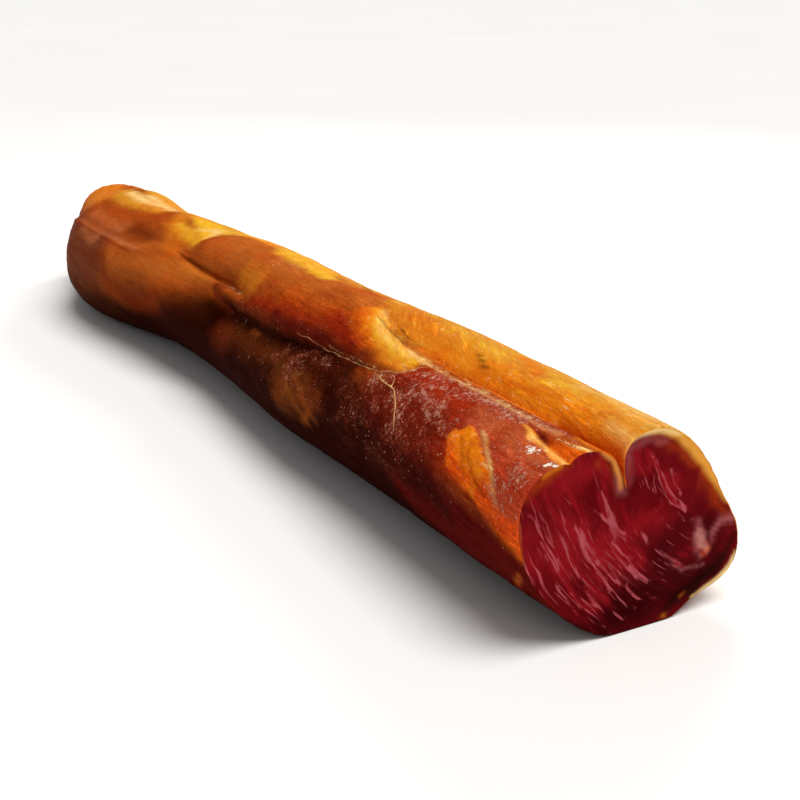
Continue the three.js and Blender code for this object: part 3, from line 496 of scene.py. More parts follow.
# The broadest streaks of fat, as Y, Z and half width.
STREAKS = table(Mark, [
    ("broad pale streak", [(-17.6, 31.6, 0.3), (-15.4, 29, 0.65), (-12.8, 26, 0.39), (-10, 20.6, 0.3)], 0.8),
    ("upper streak", [(-12, 35.2, 0.2), (-9.4, 32.6, 0.45), (-6.4, 29.6, 0.3)], 0.7),
    ("left streak", [(-26.8, 30, 0.3), (-24.4, 26.4, 0.45), (-21.8, 22, 0.3)], 0.8),
    ("left streak, lower", [(-21.6, 24.4, 0.3), (-19.8, 21.6, 0.45), (-18, 19, 0.3)], 0.7),
    ("long streak", [(-10.2, 21.6, 0.2), (-7, 17.4, 0.26), (-3.4, 13, 0.2)], 0.6),
    ("second long streak", [(-15.4, 28, 0.2), (-13.2, 23.4, 0.26), (-10, 17.8, 0.26), (-6, 12.2, 0.2)], 0.6),
    ("middle streak", [(-6.6, 25.2, 0.2), (-3.4, 22, 0.26), (0.2, 19.4, 0.2)], 0.6),
    ("red-pink streak", [(-0.4, 17.4, 0.3), (2, 14.6, 0.39), (5, 12.2, 0.3)], 0.7),
    ("right streak", [(7, 20, 0.3), (10.4, 17.6, 0.45), (13, 15.6, 0.26), (16.4, 13.2, 0.3)], 0.7),
    ("lowest streak", [(5.2, 9, 0.3), (7.6, 6.8, 0.45), (10.2, 5, 0.2)], 0.7),
    ("streak by the table", [(-5, 7.4, 0.3), (-3, 5.2, 0.45), (-0.6, 3.4, 0.3)], 0.7),
    ("low left streak", [(-18.4, 15.2, 0.2), (-15, 11.6, 0.33), (-11.4, 8.4, 0.2)], 0.7),
    ("lobe's streak", [(7.2, 39.8, 0.2), (9.4, 36, 0.39), (12.2, 31.6, 0.33), (13.8, 30, 0.2)], 0.7),
    ("lobe's second streak", [(13.4, 33.6, 0.2), (15.6, 28.8, 0.3)], 0.6),
    ("streak under the middle", [(-1.2, 12.8, 0.2), (2.8, 7.6, 0.3)], 0.6),
    ("thin low streak", [(-22, 17.6, 0.1), (-18, 12.4, 0.3), (-15.4, 8.4, 0.1)], 0.6),
    ("thin low streak 2", [(-14.4, 16, 0.1), (-11, 11, 0.3), (-7.6, 7.4, 0.1)], 0.6),
    ("thin low streak 3", [(-12, 7.4, 0.1), (-9.4, 4.6, 0.3), (-7, 2.8, 0.1)], 0.6),
    ("short streak of the lobe", [(4, 45.6, 0.1), (6.2, 42, 0.3), (8, 39.6, 0.1)], 0.6),
    ("short streak of the lobe 2", [(9.8, 40.4, 0.1), (11.8, 36.6, 0.3), (13.6, 34, 0.1)], 0.6),
    ("side streak", [(-31, 30, 0.1), (-28.6, 24, 0.3), (-26, 19.6, 0.1)], 0.6),
    ("streak by the rim", [(-30.2, 37.4, 0.2), (-28, 33.4, 0.26), (-26.4, 31, 0.2)], 0.6),
])

FLECK_SHAPE = (1.0, 0.8, 0.3)  # a fleck is a flattened grain
FLECK_SIZES = (0.25, 1.0)  # the least and the greatest share of the radius
FLECK_SMALLNESS = 1.6  # above 1, most flecks are small
THREAD_SIDES = 8
THREAD_LUMPS = (0.3, 1.35)  # thinnest and thickest, as shares of the thickness
THREAD_STEP = 0.9  # gap between a thread's points, in mm
THREAD_START = 0.4  # least distance from the cut, in mm
THREAD_LIFT = 0.02  # height over the solid, in mm
THREAD_WAVER = (1.2, 5, 7.7)  # degrees to each side, mm of a wave and the shift between threads
# Threads of connective tissue: distance, angle and thickness.
THREADS = [
    [
        (141, 141.4, 0.4), (125, 142.0, 1.0), (115, 142, 1.5), (105, 141.6, 1.3), (97, 141.2, 1.1),
        (88, 140.6, 1.2),
    ],
    [(88, 140.6, 1.1), (82, 138, 0.9), (76, 136.4, 1.0), (73, 133, 0.8), (71, 124, 0.4)],
    [
        (88, 141, 0.8), (80, 143.4, 0.9), (72.6, 144.6, 1.0), (68, 147, 0.9), (64, 151, 0.8),
        (61, 156, 0.6), (60, 159, 0.3),
    ],
    [(76, 138.6, 0.5), (74, 141, 0.7), (72.6, 144.6, 0.8)],
]

# Two ways that the fibres run, in degrees for each mm, and where they run the second way.
FIBRE_TWIST = 0.1
LEANING_TWIST = 1.05
LEAN_MARKS = table(Mark, [
    ("gold", [(62, 88, 7), (108, 88, 9)], 9),
    ("saddle", [(110, 108, 4), (84, 124, 4)], 5),
    ("flank past the saddle", [(150, 90, 6)], 10, 0.8),
    ("yellow window", [(284, 88, 5), (264, 110, 4)], 6),
])

# The camera, from the same frame, in mm and degrees.
CAMERA_PLACE = (439.206, -180.472, 151.171)
CAMERA_HEADING = 29.0  # turn from -X towards +Y
CAMERA_DROP = 18.6
CAMERA_LENS = 56.25
CAMERA_SENSOR = 36.0
CAMERA_NEAR = 0.01  # metres

# The floor and the lights, in metres.
FLOOR_REACH = 24.0
FLOOR_CORNERS = [(-1, -1), (1, -1), (1, 1), (-1, 1)]
FLOOR_SHADE = 0.98  # brightness of the floor's darker patches
SUN_PLACE = (0.35, 0.12, 1.0)
SUN_WIDTH = 40.0  # degrees
SUN_COLOUR = (1.0, 0.985, 0.96)


class Lamp(NamedTuple):
    """A round lamp: where it is, what it faces, its size and its colour."""

    name: str
    place: tuple
    target: tuple
    size: float
    colour: tuple


GLOSS = Lamp("gloss", (-0.35, 0.5, 0.55), (0.05, 0.0, 0.03), 0.2, (1.0, 0.97, 0.92))
FILL = Lamp("fill", (0.9, -0.25, 0.5), (0.2, 0, 0.03), 0.4, (1.0, 0.98, 0.96))


def linear(code):
    """A colour code such as e4a046 as linear red, green and blue."""
    values = [int(code[i : i + 2], 16) / 255 for i in (0, 2, 4)]
    return tuple(v / 12.92 if v <= 0.04045 else ((v + 0.055) / 1.055) ** 2.4 for v in values)


def tone(name, description, code):
    """A colour property with the colour code as its default."""
    return FloatVectorProperty(
        name=name, description=description, subtype="COLOR", size=3, min=0, max=1,
        default=linear(code),
    )


class LoinSizes(PropertyGroup):
    """Sizes of what is added to the solid's form."""

    unevenness: FloatProperty(
        name="Unevenness", description="Height of the skin's soft lumps",
        default=0.45 * MM, min=0, max=2 * MM, subtype="DISTANCE", unit="LENGTH",
    )
    fibre_ridges: FloatProperty(
        name="Fibre ridges", description="Height of the fine ridges along the loin",
        default=0.16 * MM, min=0, max=1 * MM, subtype="DISTANCE", unit="LENGTH",
    )
    line_relief: FloatProperty(
        name="Lines", description="Share of the named wrinkles' and furrows' height",
        default=1.0, min=0, max=2, subtype="FACTOR",
    )
    cut_relief: FloatProperty(
        name="Cut relief", description="Height of the cut face's unevenness",
        default=0.16 * MM, min=0, max=1 * MM, subtype="DISTANCE", unit="LENGTH",
    )
    fleck_radius: FloatProperty(
        name="Fleck radius", description="Radius of the largest flecks of bloom",
        default=0.3 * MM, min=0.05 * MM, max=1 * MM, subtype="DISTANCE", unit="LENGTH",
    )
    fleck_density: FloatProperty(
        name="Fleck density", description="Flecks in a square metre of full bloom",
        default=620000, min=0, max=3000000,
    )
    fleck_seed: IntProperty(name="Fleck seed", description="Seed of the flecks", default=7, min=0)
    thread_radius: FloatProperty(
        name="Thread radius", description="Radius of a full thread of connective tissue",
        default=0.2 * MM, min=0.05 * MM, max=1 * MM, subtype="DISTANCE", unit="LENGTH",
    )


class LoinColours(PropertyGroup):
    """Colours of the skin, the fat and the meat."""

    gold: tone("Gold", "Fat under thin skin", "d69325")
    honey: tone("Honey", "Back of the loin", "c27a24")
    orange: tone("Orange", "Deeper fat that glows", "ea8010")
    ochre: tone("Ochre", "Deep amber fat", "cc7218")
    yolk: tone("Yolk", "Thin fat that the light comes through", "e4a824")
    # Cream also lays painted sheen and highlights on the gold, the yellow window and the tip.
    cream: tone("Cream", "Palest fat", "f0cc86")
    sand: tone("Sand", "Dry pale edges", "dba068")
    ember: tone("Ember", "Orange skin", "d4600e")
    flame: tone("Flame", "Red-orange skin", "dc5014")
    sienna: tone("Sienna", "Orange-brown skin", "b45b20")
    rust: tone("Rust", "Brown-red skin", "9e4816")
    # Clay also lays the dull painted sheen on the upper roll.
    clay: tone("Clay", "Dull pink skin", "b4683c")
    brick: tone("Brick", "Red skin of the front roll", "94280f")
    rose: tone("Rose", "Bloomed red skin", "b2482c")
    wine: tone("Wine", "Dark red skin under the bloom", "60190f")
    # Garnet also lays the painted shade on the lower half of the upper roll.
    garnet: tone("Garnet", "Deep red skin", "8c220c")
    chestnut: tone("Chestnut", "Dark brown-red skin", "6a260c")
    mahogany: tone("Mahogany", "Purple-brown skin", "74381e")
    bole: tone("Bole", "Brown flank that the light comes through", "7a3c14")
    # Maroon also lays the painted shadow over the thread and the painted glow in the hollow.
    maroon: tone("Maroon", "Dark red flank", "560f0c")
    # Umber also lays painted shade in the crease between the rolls and under the fold.
    umber: tone("Umber", "Dark brown skin", "3a1808")
    # This darkest tone is dark red skin with painted shade in it: it lays painted shade in the hollows, under
    # the lip and the roll, and low on the flanks.
    shaded_dark_red: tone("Night", "Darkest flank", "2a0a05")
    meat: tone("Meat", "Cut meat", "6a0c12")
    crimson: tone("Crimson", "Brighter cut meat", "90141c")
    plum: tone("Plum", "Darker cut meat", "38060a")
    scarlet: tone("Scarlet", "Warm edge of the cut meat", "96300f")
    soot: tone("Soot", "Dried dark edge", "200a07")
    fat: tone("Fat", "Fat rim of the cut", "e09a3c")
    tan: tone("Tan", "Thin rim of the cut", "dc8e42")
    mauve: tone("Mauve", "Pink fat in the cut", "a85a5c")
    blush: tone("Blush", "Palest pink fat in the cut", "c88878")
    marbling: tone("Marbling", "Fat marbling in the cut", "ae4e56")
    bloom: tone("Bloom", "Bloom on the skin", "dea088")
    chalk: tone("Chalk", "White spots of dried bloom", "f0e2d4")
    tissue: tone("Tissue", "Threads of connective tissue", "e8b068")


class LoinStudio(PropertyGroup):
    """The floor and the lights."""

    floor: tone("Floor", "Plain pale floor", "f6f5f4")
    sun: FloatProperty(
        name="Wide light", description="Strength of the wide light above", default=2.75, min=0, max=20,
    )
    gloss_power: FloatProperty(
        name="Gloss light", description="Power of the light that shows on the skin",
        default=1.6, min=0, max=100, subtype="POWER", unit="POWER",
    )
    fill_power: FloatProperty(
        name="Fill light", description="Power of the light on the cut face",
        default=0.4, min=0, max=100, subtype="POWER", unit="POWER",
    )
    sky: FloatProperty(
        name="Surroundings", description="Brightness of the pale surroundings",
        default=0.28, min=0, max=3, subtype="FACTOR",
    )


# Places and fields on the skin --------------------------------------------------------------


def along(pairs, at):
    """A smooth value at each distance along [distance, value] pairs, held at the ends."""
    x, y = np.array(pairs, float).T
    slope = np.empty_like(y)
    slope[1:-1] = (y[2:] - y[:-2]) / (x[2:] - x[:-2])
    slope[0] = (y[1] - y[0]) / (x[1] - x[0])
    slope[-1] = (y[-1] - y[-2]) / (x[-1] - x[-2])
    at = np.clip(at, x[0], x[-1])
    i = np.clip(np.searchsorted(x, at, side="right") - 1, 0, len(x) - 2)
    span = x[i + 1] - x[i]
    t = (at - x[i]) / span
    flat = (2 * t**3 - 3 * t**2 + 1) * y[i] + (3 * t**2 - 2 * t**3) * y[i + 1]
    return flat + span * ((t**3 - 2 * t**2 + t) * slope[i] + (t**3 - t**2) * slope[i + 1])


def turn(start, end):
    """The signed turn from one angle to another, within half a turn, in degrees."""
    return (end - start + 180) % 360 - 180


def centre(at):
    """Points of the centre line at some distances, in mm."""
    held = np.minimum(at, LENGTH - CAP)
    side = along([(d, y) for d, y, z in CENTRE_LINE], held)
    height = along([(d, z) for d, y, z in CENTRE_LINE], held)
    return np.stack([HIGH[0] - held, side, height], -1)


def rise(value, start=0, length=1):
    """0 up to the start, then a smooth rise to 1 over the length."""
    share = np.clip((value - start) / length, 0, 1)
    return share * share * (3 - 2 * share)


def ripple(points, layers):
    """Smooth noise at each point, with its layers added up."""
    total = 0
    for layer in layers:
        shift = Vector([layer.seed * way for way in SEED_SHIFT])
        places = (Vector(point) / layer.size + shift for point in points.tolist())
        waves = [noise.fractal(place, SMOOTHNESS, LACUNARITY, layer.octaves) for place in places]
        total = total + layer.height * np.array(waves)
    return total


def outside(path, u, s):
    """How far each place lies outside a run of (u, s, half width); less than 0 inside."""
    best = np.full(u.shape, np.inf)
    run = path if len(path) > 1 else path * 2
    for (u0, s0, w0), (u1, s1, w1) in zip(run, run[1:]):
        du, ds = u1 - u0, s1 - s0
        t = np.clip(((u - u0) * du + (s - s0) * ds) / max(du * du + ds * ds, TINY), 0, 1)
        away = np.hypot(u - u0 - t * du, s - s0 - t * ds)
        best = np.minimum(best, away - (w0 + t * (w1 - w0)))
    return best


class Field:
    """Places on one surface, with the noise that makes the marks' edges ragged."""

    def __init__(self, u, s, points, wrap):
        self.u, self.s, self.wrap = u, s, wrap
        self.drift = [ripple(points, layers) for layers in EDGE_DRIFT]

    def cover(self, mark):
        """The mark's share at each place."""
        widest = max(step[2] for step in mark.path)
        stir = mark.ragged * min(1.0, LEAST_DRIFT + widest / DRIFT_WIDTH)
        u = self.u + stir * self.drift[0]
        if not self.wrap:
            return mark.share * self.edge(mark, mark.path, u, self.s + stir * self.drift[1])
        first = mark.path[0][1]
        s = turn(first, self.s) * RAD * ROUND + stir * ROUND_DRIFT * self.drift[1]
        path = [(at, turn(first, angle) * RAD * ROUND, wide) for at, angle, wide in mark.path]
        return mark.share * self.edge(mark, path, u, s)

    @staticmethod
    def edge(mark, path, u, s):
        """1 well inside the mark's path and 0 well outside it."""
        return rise(0.5 - outside(path, u, s) / (2 * mark.soft))

    def paint(self, base, marks, colours):
        """Colours at each place after all the marks, over the base tone."""
        painted = np.tile(np.array(getattr(colours, base)), (len(self.u), 1))
        for mark in marks:
            share = self.cover(mark)[:, None]
            painted += share * (np.array(getattr(colours, mark.tone)) - painted)
        return painted

    def total(self, marks):
        """The marks' shares added up at each place."""
        return sum(self.cover(mark) for mark in marks)


# The loin's grid ----------------------------------------------------------------------------


def column_angles():
    """Angles of the columns, closest together beside the guides."""
    columns = []
    for i, guide in enumerate(GUIDES):
        end = GUIDES[i + 1].column if i + 1 < len(GUIDES) else GUIDES[0].column + 360
        band = [guide.column]
        while band[-1] < end:
            gaps = [g.step + g.growth * abs(turn(g.column, band[-1])) for g in GUIDES]
            coarser = 1.0 if SEEN_FROM < band[-1] < SEEN_TO else UNSEEN_COARSER
            band.append(band[-1] + min(COARSE_STEP, coarser * min(gaps)))
        stretch = (end - guide.column) / (band[-1] - guide.column)
        columns += [guide.column + (angle - guide.column) * stretch for angle in band[:-1]]
    return np.array(columns)


def guided_angles(columns, at):
    """Where the columns stand at one distance: the guides lie on their folds."""
    anchors = [(guide.column, float(along(guide.path, at))) for guide in GUIDES]
    anchors += [(FREE_FROM, FREE_FROM), (FREE_TO, FREE_TO)]
    anchors.append((GUIDES[0].column + 360, anchors[0][1] + 360))
    known, angles = np.array(anchors, float).T
    return np.interp(columns, known, angles)


def ring_distances():
    """Distances of the rings from the cut face, closer near it."""
    rings = [distance for distance, _ in RIM_ROUNDING]
    near, far = RING_STEP
    while rings[-1] < LENGTH - CAP:
        share = rings[-1] / (LENGTH - CAP)
        rings.append(rings[-1] + near + (far - near) * share)
    stretch = (LENGTH - CAP) / rings[-1]
    held = len(RIM_ROUNDING)
    return np.array(rings[:held] + [distance * stretch for distance in rings[held:]])


def solid_tree():
    """A search tree of the solid's faces, from a merged copy of its mesh."""
    copy = bmesh.new()
    copy.from_mesh(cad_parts[NODE].data)
    bmesh.ops.remove_doubles(copy, verts=copy.verts, dist=MERGE_GAP)
    tree = BVHTree.FromBMesh(copy)
    copy.free()
    return tree


def cast(tree, at, angle, lean=0.0):
    """How far the skin is from the centre line along one ray, in mm."""
    out = Vector((-math.sin(lean), math.cos(lean) * math.cos(angle), math.cos(lean) * math.sin(angle)))
    place, _, _, distance = tree.ray_cast(Vector(centre(np.array(at)) * MM), out)
    if place is None:
        raise RuntimeError(f"no skin at {at} mm, {angle / RAD} degrees")
    return distance / MM


def tube_radii(tree, columns, rings):
    """How far the skin is from the centre line at each ring and column, without the facets."""
    samples = np.arange(0, LENGTH - CAP, SAMPLE_STEP)
    reach = np.array(
        [
            [cast(tree, max(at, FIRST_RAY), angle * RAD) for angle in guided_angles(columns, at)]
            for at in samples
        ]
    )
    # The readings go on in a straight line past both ends, so that the ends keep their slope.
    before = 2 * reach[:1] - reach[SAMPLE_PAD:0:-1]
    after = 2 * reach[-1:] - reach[-2 : -SAMPLE_PAD - 2 : -1]
    places = np.arange(-SAMPLE_PAD, len(samples) + SAMPLE_PAD) * SAMPLE_STEP
    weights = np.exp(-0.5 * ((rings[:, None] - places[None]) / SAMPLE_SPREAD) ** 2)
    weights /= weights.sum(1, keepdims=True)
    radii = weights @ np.vstack([before, reach, after])
    for ring, (_, drawn_in) in enumerate(RIM_ROUNDING):
        radii[ring] -= drawn_in
    return radii


def cap_grid(tree, angles, out):
    """The cap's rings, a fan of rays from the end of the centre line: points and distances, and
    the tip's last point."""
    last = LENGTH - CAP
    middle = centre(np.array(last))
    points, distances = [], []
    for step in range(1, CAP_RINGS):
        lean = math.pi / 2 * step / CAP_RINGS
        radius = np.array([cast(tree, last, angle * RAD, lean) for angle in angles])
        way = math.cos(lean) * out + np.array([-math.sin(lean), 0, 0])
        points.append(middle + radius[:, None] * way)
        distances.append(last + radius * math.sin(lean))
    pole = middle - np.array([cast(tree, last, 0.0, math.pi / 2), 0, 0])
    return np.array(points), np.array(distances), pole


def skin_grid(tree):
    """The skin's rings and columns: points, distances and angles in mm and degrees, how far each
    ring has closed, from 1 to 0, and the tip's last point."""
    columns = column_angles()
    rings = ring_distances()
    angles = np.array([guided_angles(columns, at) for at in rings])
    out = np.stack([np.zeros_like(angles), np.cos(angles * RAD), np.sin(angles * RAD)], -1)
    points = centre(rings)[:, None] + tube_radii(tree, columns, rings)[..., None] * out
    cap_points, cap_distances, pole = cap_grid(tree, angles[-1], out[-1])
    points = np.concatenate([points, cap_points])
    distances = np.concatenate([np.repeat(rings[:, None], len(columns), 1), cap_distances])
    angles = np.concatenate([angles, np.repeat(angles[-1:], CAP_RINGS - 1, 0)])
    # A light smoothing over the join between the tube and the cap.
    join = len(rings) - JOIN_RINGS
    for _ in range(JOIN_PASSES):
        points[join:-1] += 0.5 * (0.5 * (points[join - 1 : -2] + points[join + 1 :]) - points[join:-1])
    girths = np.ones_like(distances)
    girths[len(rings) :] = np.cos(math.pi / 2 * np.arange(1, CAP_RINGS) / CAP_RINGS)[:, None]
    return points, distances, angles, girths, pole


def grid_normals(points):
    """Outward normals of the grid's points."""
    lengthwise = np.gradient(points, axis=0)
    round_it = np.roll(points, -1, 1) - np.roll(points, 1, 1)
    normals = np.cross(lengthwise, round_it)
    return normals / np.maximum(np.linalg.norm(normals, axis=-1, keepdims=True), TINY)


def grain_space(distances, angles, twist, girths=1.0):
    """The loin drawn straight: distance, and a round of fixed radius that closes at the tip,
    turned by so many degrees for each mm."""
    turned = (angles + twist * distances) * RAD
    reach = ROUND * girths
    return np.stack([distances, reach * np.cos(turned), reach * np.sin(turned)], -1)


def relief(field, grain, sizes):
    """Height of the skin over the smooth form, in mm."""
    height = sizes.unevenness / MM * ripple(grain * np.array(SKIN_STRETCH), SKIN_LUMPS)
    height += sizes.fibre_ridges / MM * ripple(grain * np.array(FIBRE_STRETCH), FIBRE_LUMPS)
    for mark in RELIEF_LINES:
        height += sizes.line_relief * field.cover(mark)
    return height


def face_grid(rim, middle, sizes):
    """Points of the cut face's rings, from near the rim to near its middle."""
    shares = 1 - (np.arange(1, FACE_RINGS + 1) / (FACE_RINGS + 1)) ** FACE_CROWDING
    flat = (middle + shares[:, None, None] * (rim - middle)).reshape(-1, 3)
    fade = rise(1 - np.repeat(shares, rim.shape[0]), *CUT_FADE)
    flat[:, 0] = HIGH[0] - sizes.cut_relief / MM * (CUT_SINK + ripple(flat, CUT_LUMPS)) * fade
    return flat


def grid_faces(ring_count, face_count, columns):
    """Faces of the closed loin, and how many of them are skin."""
    column = np.arange(columns)
    nxt = (column + 1) % columns
    skin = [
        np.stack([a + column, a + columns + column, a + columns + nxt, a + nxt], 1)
        for a in (ring * columns for ring in range(ring_count - 1))
    ]
    pole = ring_count * columns
    last = pole - columns
    skin_fan = [(int(last + c), pole, int(last + n)) for c, n in zip(column, nxt)]
    outer = 0
    cut = []
    for ring in range(face_count):
        inner = pole + 1 + ring * columns
        cut.append(np.stack([outer + column, outer + nxt, inner + nxt, inner + column], 1))
        outer = inner
    middle = pole + 1 + face_count * columns
    cut_fan = [(int(outer + c), int(outer + n), middle) for c, n in zip(column, nxt)]
    skin_faces = np.concatenate(skin).tolist() + skin_fan
    return skin_faces + np.concatenate(cut).tolist() + cut_fan, len(skin_faces)


# Node trees ---------------------------------------------------------------------------------


class Tree:
    """Short calls for the nodes that the materials and the geometry use."""

    def __init__(self, tree):
        self.tree = tree

    def add(self, kind, inputs=None, **settings):
        """A new node with its settings, and its inputs by name or number."""
        made = self.tree.nodes.new(kind)
        for key, value in settings.items():
            setattr(made, key, value)
        for key, value in (inputs or {}).items():
            self.feed(made.inputs[key], value)
        return made

    def feed(self, socket, value):
        """Links a socket to an input, or sets the input's value."""
        if isinstance(value, bpy.types.NodeSocket):
            self.tree.links.new(value, socket)
        else:
            socket.default_value = value

    def math(self, operation, *values):
        """The result of a Math node."""
        made = self.add("ShaderNodeMath", operation=operation)
        for socket, value in zip(made.inputs, values):
            self.feed(socket, value)
        return made.outputs[0]

    def mix(self, share, first, second, blend="MIX"):
        """Mixes two colours, each a socket or red, green and blue."""
        made = self.add("ShaderNodeMix", data_type="RGBA", blend_type=blend)
        self.feed(made.inputs[0], share)
        for socket, value in ((made.inputs[6], first), (made.inputs[7], second)):
            self.feed(socket, value if isinstance(value, bpy.types.NodeSocket) else (*value, 1))
        return made.outputs[2]

    def over(self, below, colour, *shares):
        """Lays a colour over another, by the product of the shares."""
        share = shares[0]
        for other in shares[1:]:
            share = self.math("MULTIPLY", share, other)
        return self.mix(share, below, colour)

    def tint(self, colour, factors, *shares):
        """Multiplies a colour by factors, by the product of the shares."""
        return self.over(colour, self.mix(1.0, colour, factors, "MULTIPLY"), *shares)

    def part(self, colour, name):
        """A colour's Red, Green or Blue."""
        return self.add("ShaderNodeSeparateColor", {"Color": colour}).outputs[name]

    def noise(self, vector, scale=1.0, detail=3.0, roughness=0.55, distortion=0.0):
        """Noise of 0 to 1; its lumps are as wide as 1 over the scale."""
        inputs = {
            "Vector": vector, "Scale": scale, "Detail": detail, "Roughness": roughness,
            "Distortion": distortion,
        }
        return self.add("ShaderNodeTexNoise", inputs).outputs["Fac"]

    def step(self, value, start, end, low=0.0, high=1.0):
        """A soft step from low to high as the value goes from start to end."""
        inputs = {"Value": value, "From Min": start, "From Max": end, "To Min": low, "To Max": high}
        made = self.add("ShaderNodeMapRange", inputs, interpolation_type="SMOOTHSTEP")
        return made.outputs["Result"]

    def blend(self, share, first, second):
        """Mixes two values."""
        return self.add("ShaderNodeMix", {0: share, 2: first, 3: second}, data_type="FLOAT").outputs[0]

    def stirred(self, place, scale, detail, reach, middle=0.5):
        """A place moved about by coloured noise, which stays where the noise is at the middle."""
        stir = self.add("ShaderNodeTexNoise", {"Vector": place, "Scale": scale, "Detail": detail})
        inputs = {0: stir.outputs["Color"], 1: (middle, middle, middle)}
        shift = self.add("ShaderNodeVectorMath", inputs, operation="SUBTRACT")
        inputs = {0: shift.outputs[0], 1: (reach, reach, reach), 2: place}
        return self.add("ShaderNodeVectorMath", inputs, operation="MULTIPLY_ADD").outputs[0]

    def specks(self, place, scale, wanted):
        """Ragged grains, one to a cell at most; what is wanted is the share of cells with one."""
        stirred = self.stirred(place, scale=1.9, detail=2.0, reach=0.9, middle=0.0)
        found = self.add("ShaderNodeTexVoronoi", {"Vector": stirred, "Scale": scale})
        size = self.step(self.part(found.outputs["Color"], "Green"), 0, 1, low=0.12, high=0.42)
        inside = self.step(found.outputs["Distance"], size, self.math("MULTIPLY", size, 0.55))
        chosen = self.math("LESS_THAN", self.part(found.outputs["Color"], "Red"), wanted)
        return self.math("MULTIPLY", inside, chosen)

    def spots(self, place, spots):
        """Ragged spots round some points, each with its own radius."""
        stirred = self.stirred(place, scale=1.3, detail=3.0, reach=2.6)
        inside = 0.0
        for point, radius in spots:
            inputs = {0: stirred, 1: tuple(point)}
            away = self.add("ShaderNodeVectorMath", inputs, operation="DISTANCE").outputs["Value"]
            inside = self.math("MAXIMUM", inside, self.step(away, 1.1 * radius, 0.8 * radius))
        return inside

    def scaled(self, vector, factors, shift=(0, 0, 0)):
        """A vector times some factors, and shifted."""
        inputs = {"Vector": vector, "Scale": factors, "Location": shift}
        return self.add("ShaderNodeMapping", inputs).outputs["Vector"]

    def attribute(self, name, output):
        """What the mesh carries under a name."""
        return self.add("ShaderNodeAttribute", attribute_name=name).outputs[output]

    def bumps(self, *layers):
        """A normal bent by layers, each with its height, strength and distance in mm."""
        normal = None
        for height, strength, distance in layers:
            inputs = {"Height": height, "Strength": strength, "Distance": distance * MM}
            if normal is not None:
                inputs["Normal"] = normal
            normal = self.add("ShaderNodeBump", inputs).outputs["Normal"]
        return normal


def material(name):
    """A new material with its Principled shader, and short calls for its tree."""
    made = bpy.data.materials.new(name)
    made.use_nodes = True
    shader = made.node_tree.nodes["Principled BSDF"]
    return made, Tree(made.node_tree), shader


def add_bloom(tree, colours, colour, between_pores):
    """The colour under bloom, in grains and small clouds where the mesh says, and its amount."""
    grain = tree.attribute("grain", "Vector")
    clouds = tree.noise(tree.scaled(grain, (0.6, 1, 1)), scale=0.2, detail=4, roughness=0.65)
    wanted = tree.math("MULTIPLY", tree.attribute("bloom", "Fac"), tree.step(clouds, 0.4, 0.6, low=0.1))
    grains = tree.noise(grain, scale=0.85, detail=7, roughness=0.8)
    clumps = tree.step(tree.math("ADD", grains, tree.math("MULTIPLY", wanted, 0.15)), 0.62, 0.73)
    clumps = tree.math("MULTIPLY", clumps, tree.step(wanted, 0.02, 0.3))
    pricks = tree.specks(grain, 1.5, tree.math("MULTIPLY", wanted, 0.75))
    amount = tree.math("MAXIMUM", clumps, tree.math("MULTIPLY", pricks, 0.7))
    colour = tree.over(colour, colours.rose, wanted, between_pores, 0.7)
    return tree.over(colour, colours.bloom, amount, 0.74), amount


def add_crust(tree, colours, colour, between_pores):
    """The colour under dry edges that break into pale flakes, and where those are."""
    grain = tree.attribute("grain", "Vector")
    crust = tree.attribute("crust", "Fac")
    broken = tree.scaled(grain, (0.55, 1, 1), (5, 2, 9))
    broken = tree.noise(broken, scale=1.15, detail=6, roughness=0.76)
    flakes = tree.step(tree.math("ADD", broken, tree.math("MULTIPLY", crust, 0.2)), 0.6, 0.7)
    gaps = tree.scaled(grain, (0.6, 1, 1), (3, 8, 1))
    gaps = tree.noise(gaps, scale=0.4, detail=3, roughness=0.6)
    gaps = tree.step(gaps, 0.42, 0.56, low=0.15, high=0.9)
    flakes = tree.math("MULTIPLY", flakes, tree.math("MULTIPLY", gaps, tree.step(crust, 0.04, 0.3)))
    dry = tree.mix(between_pores, colours.sand, colours.cream)
    return tree.over(colour, dry, flakes), flakes


def add_spots(tree, colours, colour):
    """The colour under the white spots of dried bloom, and where those are."""
    places = [
        (grain_space(np.array(at), np.array(angle), FIBRE_TWIST), radius) for at, angle, radius in SPOTS
    ]
    spots = tree.spots(tree.attribute("grain", "Vector"), places)
    return tree.over(colour, colours.chalk, spots, 0.92), spots


